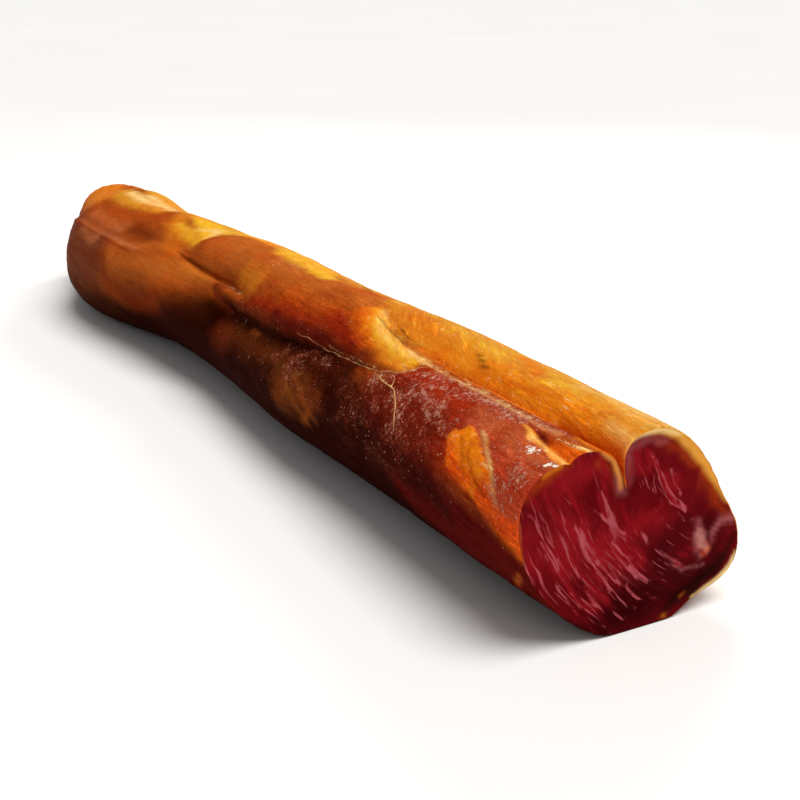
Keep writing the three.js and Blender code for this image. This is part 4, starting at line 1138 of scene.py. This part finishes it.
def skin_material(colours):
    """Cured skin: stains from the mesh, with fibres, mottles, pores and bloom over them."""
    made, tree, shader = material("cured skin")
    base = tree.attribute("tone", "Color")
    grain = tree.attribute("grain", "Vector")
    leaning = tree.attribute("leaning", "Vector")
    lean = tree.attribute("lean", "Fac")
    paleness = tree.step(tree.part(base, "Green"), 0.07, 0.3)

    def drawn(length, **look):
        """Noise drawn out along the fibres, whichever way they run there."""
        straight, slanted = (
            tree.noise(tree.scaled(space, (length, 1, 1)), **look) for space in (grain, leaning)
        )
        return tree.blend(lean, straight, slanted)

    halved = tree.scaled(grain, (0.5, 1, 1))
    cloud = tree.noise(halved, scale=0.05, detail=4, roughness=0.6, distortion=0.7)
    mottle = tree.noise(halved, scale=0.2, detail=6, roughness=0.68)
    blot = drawn(0.42, scale=0.3, detail=5, roughness=0.64)
    streak = drawn(0.13, scale=0.7, detail=5, roughness=0.66, distortion=0.4)
    dash = drawn(0.32, scale=1.0, detail=5, roughness=0.68)
    fibre = drawn(0.2, scale=1.9, detail=4, roughness=0.66)
    nap = drawn(0.45, scale=2.4, detail=4, roughness=0.7)
    clump = tree.noise(tree.scaled(grain, (0.7, 1, 1), (1, 4, 6)), detail=5, roughness=0.76)
    pore = tree.noise(grain, scale=1.5, detail=4, roughness=0.7)
    between_pores = tree.step(pore, 0.42, 0.6)
    distance = tree.add("ShaderNodeSeparateXYZ", {"Vector": grain}).outputs["X"]
    crisp = tree.step(distance, 90, 240, low=1, high=0.4)  # the skin is smoother towards the tip

    uneven = tree.math("MULTIPLY", tree.step(cloud, 0.36, 0.6, low=0.2), crisp)
    colour = tree.tint(base, (0.74, 0.56, 0.42), uneven, tree.step(mottle, 0.46, 0.62, high=0.7))
    colour = tree.tint(colour, (1.12, 0.84, 0.6), tree.step(cloud, 0.45, 0.62, high=0.6))
    colour = tree.tint(colour, (1.4, 1.5, 1.6), crisp, tree.step(streak, 0.53, 0.66, high=0.85))
    # Fat sinks towards orange, and lean skin towards brown.
    deep = tree.mix(paleness, (0.7, 0.4, 0.36), (0.9, 0.66, 0.34))
    sunk = tree.mix(1.0, colour, deep, "MULTIPLY")
    colour = tree.over(colour, sunk, crisp, tree.step(streak, 0.46, 0.34, high=0.85))
    colour = tree.over(colour, sunk, crisp, tree.step(fibre, 0.46, 0.34, high=0.75))
    colour = tree.over(colour, sunk, crisp, tree.step(pore, 0.4, 0.28, high=0.6))
    raised = tree.mix(paleness, (1.45, 1.5, 1.6), (1.14, 1.17, 1.2))
    colour = tree.tint(colour, raised, crisp, tree.step(nap, 0.52, 0.64, high=0.5))
    colour = tree.over(colour, sunk, crisp, tree.step(nap, 0.46, 0.36, high=0.5))
    lean_skin = tree.math("MULTIPLY", crisp, tree.math("SUBTRACT", 1.0, paleness))
    colour = tree.tint(colour, (1.5, 1.6, 1.85), lean_skin, tree.step(clump, 0.53, 0.63, high=0.8))

    # Fat lies in blots, some nearer to yellow and some to orange.
    fatty = tree.math("MULTIPLY", paleness, crisp)
    colour = tree.tint(colour, (0.98, 0.78, 0.42), fatty, tree.step(blot, 0.5, 0.6, high=0.75))
    colour = tree.tint(colour, (1.06, 1.22, 1.0), fatty, tree.step(blot, 0.48, 0.38, high=0.8))

    # Short pale flecks where the fat is near the skin.
    patchy = tree.math("MULTIPLY", paleness, tree.step(mottle, 0.56, 0.4, low=0.15))
    patchy = tree.math("MULTIPLY", patchy, crisp)
    colour = tree.over(colour, colours.cream, tree.step(dash, 0.57, 0.64, high=0.95), patchy)

    colour, amount = add_bloom(tree, colours, colour, between_pores)
    colour, flakes = add_crust(tree, colours, colour, between_pores)
    colour, spots = add_spots(tree, colours, colour)
    tree.feed(shader.inputs["Base Color"], colour)

    dull = tree.step(mottle, 0.3, 0.7, low=0.34, high=0.48)
    rough = tree.math("ADD", dull, tree.math("MULTIPLY", amount, 0.25))
    tree.feed(shader.inputs["Roughness"], rough)
    shader.inputs["Specular IOR Level"].default_value = 0.001
    shader.inputs["Subsurface Weight"].default_value = 0.1
    shader.inputs["Subsurface Radius"].default_value = (1.0, 0.35, 0.12)
    shader.inputs["Subsurface Scale"].default_value = 1.5 * MM

    crumbs = tree.math("MAXIMUM", tree.math("MAXIMUM", amount, flakes), spots)
    normal = tree.bumps((fibre, 0.5, 0.4), (pore, 0.5, 0.4), (streak, 0.5, 0.7), (crumbs, 0.6, 0.25))
    tree.feed(shader.inputs["Normal"], normal)
    # Fat sweats through where it is near, and shines there.
    sweat = tree.step(mottle, 0.35, 0.6, low=0.02, high=0.1)
    tree.feed(shader.inputs["Coat Weight"], tree.math("MULTIPLY", paleness, sweat))
    shader.inputs["Coat Roughness"].default_value = 0.26
    tree.feed(shader.inputs["Coat Normal"], normal)
    return made


MARBLING_CENTRE = (60.0, 72.0)  # the muscle's fibres lie in arcs about this Y and Z
MARBLING_ROUND = 95.0  # the radius that turns an angle about it into mm along an arc


def cut_material(colours):
    """Cut meat: fibres and fat marbling in arcs, over the tones that the mesh carries."""
    made, tree, shader = material("cut meat")
    place = tree.add("ShaderNodeTexCoord").outputs["Object"]
    base = tree.attribute("tone", "Color")
    dense = tree.attribute("marbling", "Fac")

    # Across and along the arcs, in mm, with a slow waver.
    moved = tree.stirred(place, scale=50.0, detail=1.5, reach=0.0045)
    split = tree.add("ShaderNodeSeparateXYZ", {"Vector": moved})
    side = tree.math("SUBTRACT", split.outputs["Y"], MARBLING_CENTRE[0] * MM)
    height = tree.math("SUBTRACT", split.outputs["Z"], MARBLING_CENTRE[1] * MM)
    squares = [tree.math("MULTIPLY", way, way) for way in (side, height)]
    across = tree.math("MULTIPLY", tree.math("SQRT", tree.math("ADD", *squares)), 1 / MM)
    bow = tree.math("MULTIPLY", tree.math("ARCTAN2", height, side), MARBLING_ROUND)
    arcs = tree.add("ShaderNodeCombineXYZ", {"X": across, "Y": bow, "Z": 0.0}).outputs[0]

    def fibres(fineness, shift, **look):
        """Noise along the arcs, as fine as is said across and along them."""
        return tree.noise(tree.scaled(arcs, (*fineness, 1), shift), **look)

    broad = fibres((0.55, 0.06), (0, 0, 0), distortion=0.7)
    fine = fibres((1.25, 0.08), (7, 3, 2), distortion=0.35)
    hair = fibres((2.8, 0.14), (2, 9, 5), roughness=0.6, distortion=0.2)
    glow = fibres((0.3, 0.06), (4, 1, 8), detail=2, roughness=0.5, distortion=0.2)
    cloud = tree.noise(place, scale=55.0, roughness=0.5)

    meaty = tree.step(dense, -0.6, 0.1)  # less than all of it where the cut is fat
    shade = tree.mix(1.0, base, (0.46, 0.36, 0.4), "MULTIPLY")
    colour = tree.over(base, shade, meaty, tree.step(cloud, 0.44, 0.62, high=0.75))
    colour = tree.over(colour, shade, meaty, tree.step(hair, 0.5, 0.3, high=0.6))
    spread = tree.math("MULTIPLY", dense, 0.14)
    glowing = tree.step(tree.math("ADD", glow, spread), 0.54, 0.76, high=0.75)
    redness = tree.step(tree.part(base, "Red"), 0.05, 0.13, low=0.15)
    colour = tree.over(colour, colours.crimson, glowing, redness)
    vein = tree.step(tree.math("ADD", broad, spread), 0.67, 0.79)
    thread = tree.step(tree.math("ADD", fine, spread), 0.68, 0.79)
    thin = tree.step(tree.math("ADD", hair, spread), 0.7, 0.86)
    for fat, share in ((thin, 0.35), (thread, 0.65), (vein, 0.85)):
        colour = tree.over(colour, colours.marbling, fat, share)
    tree.feed(shader.inputs["Base Color"], colour)

    rough = tree.math("ADD", 0.34, tree.math("MULTIPLY", tree.step(fine, 0.3, 0.7), 0.14))
    tree.feed(shader.inputs["Roughness"], rough)
    shader.inputs["Subsurface Weight"].default_value = 0.15
    shader.inputs["Subsurface Radius"].default_value = (1.0, 0.25, 0.2)
    shader.inputs["Subsurface Scale"].default_value = 1.6 * MM
    shader.inputs["Specular IOR Level"].default_value = 0.002
    normal = tree.bumps((fine, 0.35, 0.3), (hair, 0.3, 0.12), (vein, 0.25, 0.2))
    tree.feed(shader.inputs["Normal"], normal)
    return made


def bloom_material(colours):
    """Dry pale bloom, a little uneven."""
    made, tree, shader = material("dry bloom")
    place = tree.add("ShaderNodeTexCoord").outputs["Object"]
    patchy = tree.noise(place, scale=400.0, roughness=0.6)
    colour = tree.mix(tree.step(patchy, 0.3, 0.7), colours.rose, colours.bloom)
    tree.feed(shader.inputs["Base Color"], colour)
    tree.feed(shader.inputs["Roughness"], tree.step(patchy, 0.2, 0.8, low=0.6, high=0.85))
    shader.inputs["Subsurface Weight"].default_value = 0.2
    shader.inputs["Subsurface Scale"].default_value = 0.6 * MM
    tree.feed(shader.inputs["Normal"], tree.bumps((patchy, 0.4, 0.1)))
    return made


def tissue_material(colours):
    """Dried connective tissue, from amber to pale."""
    made, tree, shader = material("dried tissue")
    place = tree.add("ShaderNodeTexCoord").outputs["Object"]
    patchy = tree.noise(place, scale=180.0, detail=4, roughness=0.6)
    colour = tree.mix(tree.step(patchy, 0.35, 0.65), colours.sienna, colours.tissue)
    flecks = tree.step(tree.noise(place, scale=900.0), 0.5, 0.75, high=0.6)
    tree.feed(shader.inputs["Base Color"], tree.over(colour, colours.cream, flecks))
    tree.feed(shader.inputs["Roughness"], tree.step(patchy, 0.2, 0.8, low=0.38, high=0.6))
    tree.feed(shader.inputs["Normal"], tree.bumps((patchy, 0.4, 0.2)))
    return made


# Meshes -------------------------------------------------------------------------------------


def new_object(name, mesh):
    """An object in the scene with a mesh, light or camera."""
    made = bpy.data.objects.new(name, mesh)
    bpy.context.scene.collection.objects.link(made)
    return made


def add_attribute(mesh, name, kind, values):
    """A value at each vertex; colours get an alpha of 1."""
    made = mesh.attributes.new(name, kind, "POINT")
    key = {"FLOAT": "value", "FLOAT_VECTOR": "vector", "FLOAT_COLOR": "color"}[kind]
    if kind == "FLOAT_COLOR":
        values = np.column_stack([values, np.ones(len(values))])
    made.data.foreach_set(key, np.ascontiguousarray(values, np.float32).ravel())


def build_body(scene):
    """The whole loin as one closed mesh with its tones, and the solid hidden."""
    sizes, colours = scene.loin_sizes, scene.loin_colours
    points, distances, angles, girths, pole = skin_grid(solid_tree())
    rings, columns = distances.shape
    normals = grid_normals(points)
    spaces = {
        name: grain_space(distances, angles, twist, girths).reshape(-1, 3)
        for name, twist in (("grain", FIBRE_TWIST), ("leaning", LEANING_TWIST))
    }
    field = Field(distances.ravel(), angles.ravel(), spaces["grain"], True)
    lift = relief(field, spaces["grain"], sizes).reshape(rings, columns)
    # The relief dies out at the table, at the tip's pole and in the floor of the cleft. It
    # leaves the cut flat.
    normals[:FLAT_RINGS, :, 0] = 0
    lift *= rise(points[..., 2], *TABLE_FADE)
    lift *= rise(rings - 1 - np.arange(rings)[:, None], *POLE_FADE)
    floor_gap = np.abs(turn(along(CLEFT, distances), angles)) * RAD * ROUND
    lift *= np.where(distances < SLIT_LENGTH, rise(floor_gap, *SLIT_FADE), 1.0)
    points = points + lift[..., None] * normals
    points[..., 2] = np.maximum(points[..., 2], 0)

    middle = centre(np.array(0.0))
    face = face_grid(points[0], middle, sizes)
    face_field = Field(face[:, 1], face[:, 2], face, False)
    every = np.concatenate([points.reshape(-1, 3), [pole], face, [middle]])
    faces, skin_count = grid_faces(rings, FACE_RINGS, columns)
    mesh = bpy.data.meshes.new("loin_body")
    mesh.from_pydata((every * MM).tolist(), [], faces)

    skin_tone = field.paint("rust", SKIN_MARKS, colours)
    face_tone = face_field.paint("meat", FACE_MARKS, colours)
    tones = np.concatenate([skin_tone, skin_tone[-1:], face_tone, face_tone[-1:]])
    add_attribute(mesh, "tone", "FLOAT_COLOR", tones)
    face_blank = np.zeros(1 + len(face) + 1)
    for name, marks in (("bloom", BLOOM_MARKS), ("crust", CRUST_MARKS), ("lean", LEAN_MARKS)):
        share = np.clip(field.total(marks), 0, 1)
        add_attribute(mesh, name, "FLOAT", np.concatenate([share, face_blank]))
    marbling = np.clip(MARBLING_BASE + face_field.total(MARBLING_MARKS), -1, 1)
    marbling += STREAK_WEIGHT * np.clip(face_field.total(STREAKS), 0, 1)
    skin_blank = np.zeros(rings * columns + 1)
    add_attribute(mesh, "marbling", "FLOAT", np.concatenate([skin_blank, marbling, marbling[-1:]]))
    for name, space in spaces.items():
        tip = space[-columns:].mean(0, keepdims=True)
        add_attribute(mesh, name, "FLOAT_VECTOR", np.concatenate([space, tip, face, [middle]]))

    mesh.materials.append(skin_material(colours))
    mesh.materials.append(cut_material(colours))
    slots = np.zeros(len(faces), np.int32)
    slots[skin_count:] = 1
    mesh.polygons.foreach_set("material_index", slots)
    mesh.shade_smooth()
    mesh.update()
    body = new_object("loin_body", mesh)
    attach(body, BODY)
    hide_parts(NODE)


def plain_mesh(source, name):
    """The object's evaluated mesh as a plain object of its own; the source is removed."""
    graph = bpy.context.evaluated_depsgraph_get()
    mesh = bpy.data.meshes.new_from_object(source.evaluated_get(graph))
    mesh.name = name
    old = source.data
    bpy.data.objects.remove(source)
    bpy.data.meshes.remove(old)
    return new_object(name, mesh)


def geometry_group(name, inputs):
    """A geometry tree with a mesh in and out, named inputs, and short calls."""
    group = bpy.data.node_groups.new(name, "GeometryNodeTree")
    group.interface.new_socket("Geometry", in_out="INPUT", socket_type="NodeSocketGeometry")
    for label, kind in inputs:
        group.interface.new_socket(label, in_out="INPUT", socket_type=kind)
    group.interface.new_socket("Geometry", in_out="OUTPUT", socket_type="NodeSocketGeometry")
    tree = Tree(group)
    return group, tree, tree.add("NodeGroupInput").outputs


def finish_group(tree, geometry, finish):
    """Ends a geometry tree: instances realized, then the material."""
    real = tree.add("GeometryNodeRealizeInstances", {"Geometry": geometry})
    inputs = {"Geometry": real.outputs[0], "Material": finish}
    coated = tree.add("GeometryNodeSetMaterial", inputs)
    tree.add("NodeGroupOutput", {"Geometry": coated.outputs[0]})


def run_group(source, group, values):
    """Adds the modifier and sets its inputs by identifier."""
    modifier = source.modifiers.new(group.name, "NODES")
    modifier.node_group = group
    for item in group.interface.items_tree:
        if item.in_out == "INPUT" and item.name in values:
            modifier[item.identifier] = values[item.name]


def fleck_group(finish):
    """Small flat grains scattered where the skin carries bloom."""
    inputs = [
        ("Radius", "NodeSocketFloat"), ("Density", "NodeSocketFloat"), ("Seed", "NodeSocketInt"),
    ]
    group, tree, given = geometry_group("bloom flecks", inputs)
    bloom = tree.add("GeometryNodeInputNamedAttribute", {"Name": "bloom"}, data_type="FLOAT")
    patch = tree.noise(tree.add("GeometryNodeInputPosition").outputs[0], scale=260.0, roughness=0.6)
    share = tree.math("MULTIPLY", tree.math("POWER", bloom.outputs[0], 2.0), tree.step(patch, 0.42, 0.68))
    density = tree.math("MULTIPLY", share, given["Density"])
    scatter = tree.add(
        "GeometryNodeDistributePointsOnFaces",
        {"Mesh": given["Geometry"], "Density": density, "Seed": given["Seed"]},
    )
    grain = tree.add("GeometryNodeMeshIcoSphere", {"Radius": given["Radius"], "Subdivisions": 1})
    flat = tree.add("GeometryNodeTransform", {"Geometry": grain.outputs[0], "Scale": FLECK_SHAPE})
    inputs = {"Seed": given["Seed"], 2: FLECK_SIZES[0], 3: FLECK_SIZES[1]}
    size = tree.add("FunctionNodeRandomValue", inputs, data_type="FLOAT")
    small = tree.math("POWER", size.outputs[1], FLECK_SMALLNESS)
    placed = tree.add(
        "GeometryNodeInstanceOnPoints",
        {
            "Points": scatter.outputs["Points"], "Instance": flat.outputs[0],
            "Rotation": scatter.outputs["Rotation"], "Scale": small,
        },
    )
    finish_group(tree, placed.outputs[0], finish)
    return group


def thread_group(finish):
    """Round threads along the edges, as thick as each vertex says, a little lumpy."""
    group, tree, given = geometry_group("tissue threads", [("Radius", "NodeSocketFloat")])
    thickness = tree.add("GeometryNodeInputNamedAttribute", {"Name": "thickness"}, data_type="FLOAT")
    curve = tree.add("GeometryNodeMeshToCurve", {"Mesh": given["Geometry"]})
    lumps = tree.noise(tree.add("GeometryNodeInputPosition").outputs[0], scale=420.0, roughness=0.7)
    lumps = tree.step(lumps, 0.34, 0.66, *THREAD_LUMPS)
    inputs = {"Resolution": THREAD_SIDES, "Radius": given["Radius"]}
    ring = tree.add("GeometryNodeCurvePrimitiveCircle", inputs)
    inputs = {
        "Curve": curve.outputs[0], "Profile Curve": ring.outputs[0],
        "Scale": tree.math("MULTIPLY", thickness.outputs[0], lumps), "Fill Caps": True,
    }
    tube = tree.add("GeometryNodeCurveToMesh", inputs)
    finish_group(tree, tube.outputs[0], finish)
    return group


def build_flecks(scene):
    """Grains of dry bloom that stand on the skin."""
    sizes = scene.loin_sizes
    source = new_object("fleck source", bpy.data.objects["loin_body"].data.copy())
    group = fleck_group(bloom_material(scene.loin_colours))
    values = {
        "Radius": sizes.fleck_radius, "Density": sizes.fleck_density, "Seed": sizes.fleck_seed,
    }
    run_group(source, group, values)
    flecks = plain_mesh(source, "bloom_flecks")
    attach(flecks, BODY)


def build_threads(scene):
    """Threads of connective tissue laid along their paths on the skin."""
    skin = bpy.data.objects["loin_body"].data
    tree = BVHTree.FromPolygons([v.co for v in skin.vertices], [p.vertices for p in skin.polygons])
    swing, wave, apart = THREAD_WAVER
    points, edges, thickness = [], [], []
    for number, path in enumerate(THREADS):
        at, angle, thick = np.array(path, float).T
        gaps = np.hypot(np.diff(at), np.diff(angle) * RAD * ROUND)
        run = np.concatenate([[0], np.cumsum(gaps)])
        steps = np.linspace(0, run[-1], int(run[-1] / THREAD_STEP) + 2)
        start = len(points)
        for i, step in enumerate(steps):
            waver = noise.noise(Vector((step / wave, number * apart, 0)))
            here = max(float(along(np.stack([run, at], 1), step)), THREAD_START)
            turned = float(along(np.stack([run, angle], 1), step)) + swing * waver
            reach = cast(tree, here, turned * RAD)
            out = np.array([0, math.cos(turned * RAD), math.sin(turned * RAD)])
            points.append((centre(np.array(here)) + (reach + THREAD_LIFT) * out) * MM)
            thickness.append(float(np.interp(step, run, thick)))
            if i:
                edges.append((start + i - 1, start + i))
    mesh = bpy.data.meshes.new("thread source")
    mesh.from_pydata([p.tolist() for p in points], edges, [])
    add_attribute(mesh, "thickness", "FLOAT", np.array(thickness))
    source = new_object("thread source", mesh)
    group = thread_group(tissue_material(scene.loin_colours))
    run_group(source, group, {"Radius": scene.loin_sizes.thread_radius})
    threads = plain_mesh(source, "tissue_threads")
    threads.data.shade_smooth()
    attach(threads, BODY)


# The stage ----------------------------------------------------------------------------------


def aim(obj, target):
    """Turns a light towards a point."""
    way = Vector(target) - obj.location
    obj.rotation_euler = way.to_track_quat("-Z", "Y").to_euler()


def area_light(lamp, power):
    """Adds one of the lamps."""
    light = bpy.data.lights.new(lamp.name, "AREA")
    light.shape = "DISK"
    light.size = lamp.size
    light.energy = power
    light.color = lamp.colour
    made = new_object(lamp.name, light)
    made.location = lamp.place
    aim(made, lamp.target)


def build_stage(scene):
    """The floor, the lights, the pale surroundings and the camera."""
    studio = scene.loin_studio
    mesh = bpy.data.meshes.new("floor")
    corners = [(side * FLOOR_REACH, end * FLOOR_REACH, 0) for side, end in FLOOR_CORNERS]
    mesh.from_pydata(corners, [], [(0, 1, 2, 3)])
    made, tree, shader = material("pale floor")
    place = tree.add("ShaderNodeTexCoord").outputs["Object"]
    patchy = tree.step(tree.noise(place, scale=3.0, detail=2), 0.3, 0.7)
    darker = tuple(FLOOR_SHADE * value for value in studio.floor)
    tree.feed(shader.inputs["Base Color"], tree.mix(patchy, studio.floor, darker))
    shader.inputs["Roughness"].default_value = 0.8
    mesh.materials.append(made)
    new_object("floor", mesh)

    wide = bpy.data.lights.new("wide light", "SUN")
    wide.energy = studio.sun
    wide.angle = SUN_WIDTH * RAD
    wide.color = SUN_COLOUR
    sun = new_object("wide light", wide)
    sun.location = SUN_PLACE
    aim(sun, (0, 0, 0))
    area_light(GLOSS, studio.gloss_power)
    area_light(FILL, studio.fill_power)

    world = bpy.data.worlds.new("pale room")
    scene.world = world
    world.use_nodes = True
    backdrop = world.node_tree.nodes["Background"]
    backdrop.inputs["Color"].default_value = (1.0, 1.0, 1.0, 1)
    backdrop.inputs["Strength"].default_value = studio.sky

    lens = bpy.data.cameras.new("camera")
    lens.lens = CAMERA_LENS
    lens.sensor_width = CAMERA_SENSOR
    lens.clip_start = CAMERA_NEAR
    camera = new_object("camera", lens)
    heading, drop = CAMERA_HEADING * RAD, CAMERA_DROP * RAD
    level = math.cos(drop)
    ahead = Vector((-math.cos(heading) * level, math.sin(heading) * level, -math.sin(drop)))
    camera.location = [value * MM for value in CAMERA_PLACE]
    camera.rotation_euler = ahead.to_track_quat("-Z", "Y").to_euler()
    scene.camera = camera
    scene.view_settings.view_transform = "Standard"


# Operators and panel ------------------------------------------------------------------------


class LOIN_OT_body(Operator):
    """Build the loin's skin and cut face"""

    bl_idname = "loin.body"
    bl_label = "Loin"

    def execute(self, context):
        build_body(context.scene)
        return {"FINISHED"}


class LOIN_OT_flecks(Operator):
    """Scatter flecks of dry bloom on the skin"""

    bl_idname = "loin.flecks"
    bl_label = "Bloom flecks"

    def execute(self, context):
        build_flecks(context.scene)
        return {"FINISHED"}


class LOIN_OT_threads(Operator):
    """Lay threads of connective tissue along the folds"""

    bl_idname = "loin.threads"
    bl_label = "Tissue threads"

    def execute(self, context):
        build_threads(context.scene)
        return {"FINISHED"}


class LOIN_OT_stage(Operator):
    """Build the floor, the lights and the camera"""

    bl_idname = "loin.stage"
    bl_label = "Stage"

    def execute(self, context):
        build_stage(context.scene)
        return {"FINISHED"}


STEPS = (LOIN_OT_body, LOIN_OT_flecks, LOIN_OT_threads, LOIN_OT_stage)


class LOIN_PT_panel(Panel):
    """The loin's settings and steps"""

    bl_idname = "LOIN_PT_panel"
    bl_label = "Cured loin"
    bl_space_type = "VIEW_3D"
    bl_region_type = "UI"
    bl_category = "Cured loin"

    def draw(self, context):
        layout = self.layout
        scene = context.scene
        for settings in (scene.loin_sizes, scene.loin_colours, scene.loin_studio):
            column = layout.column(align=True)
            for key in settings.__annotations__:
                column.prop(settings, key)
        for step in STEPS:
            layout.operator(step.bl_idname)


CLASSES = (LoinSizes, LoinColours, LoinStudio, *STEPS, LOIN_PT_panel)


def register():
    for each in CLASSES:
        bpy.utils.register_class(each)
    bpy.types.Scene.loin_sizes = PointerProperty(type=LoinSizes)
    bpy.types.Scene.loin_colours = PointerProperty(type=LoinColours)
    bpy.types.Scene.loin_studio = PointerProperty(type=LoinStudio)


def unregister():
    del bpy.types.Scene.loin_studio
    del bpy.types.Scene.loin_colours
    del bpy.types.Scene.loin_sizes
    for each in reversed(CLASSES):
        bpy.utils.unregister_class(each)


def main():
    register()
    bpy.ops.loin.body()
    bpy.ops.loin.flecks()
    bpy.ops.loin.threads()
    bpy.ops.loin.stage()


if __name__ == "__main__":
    main()
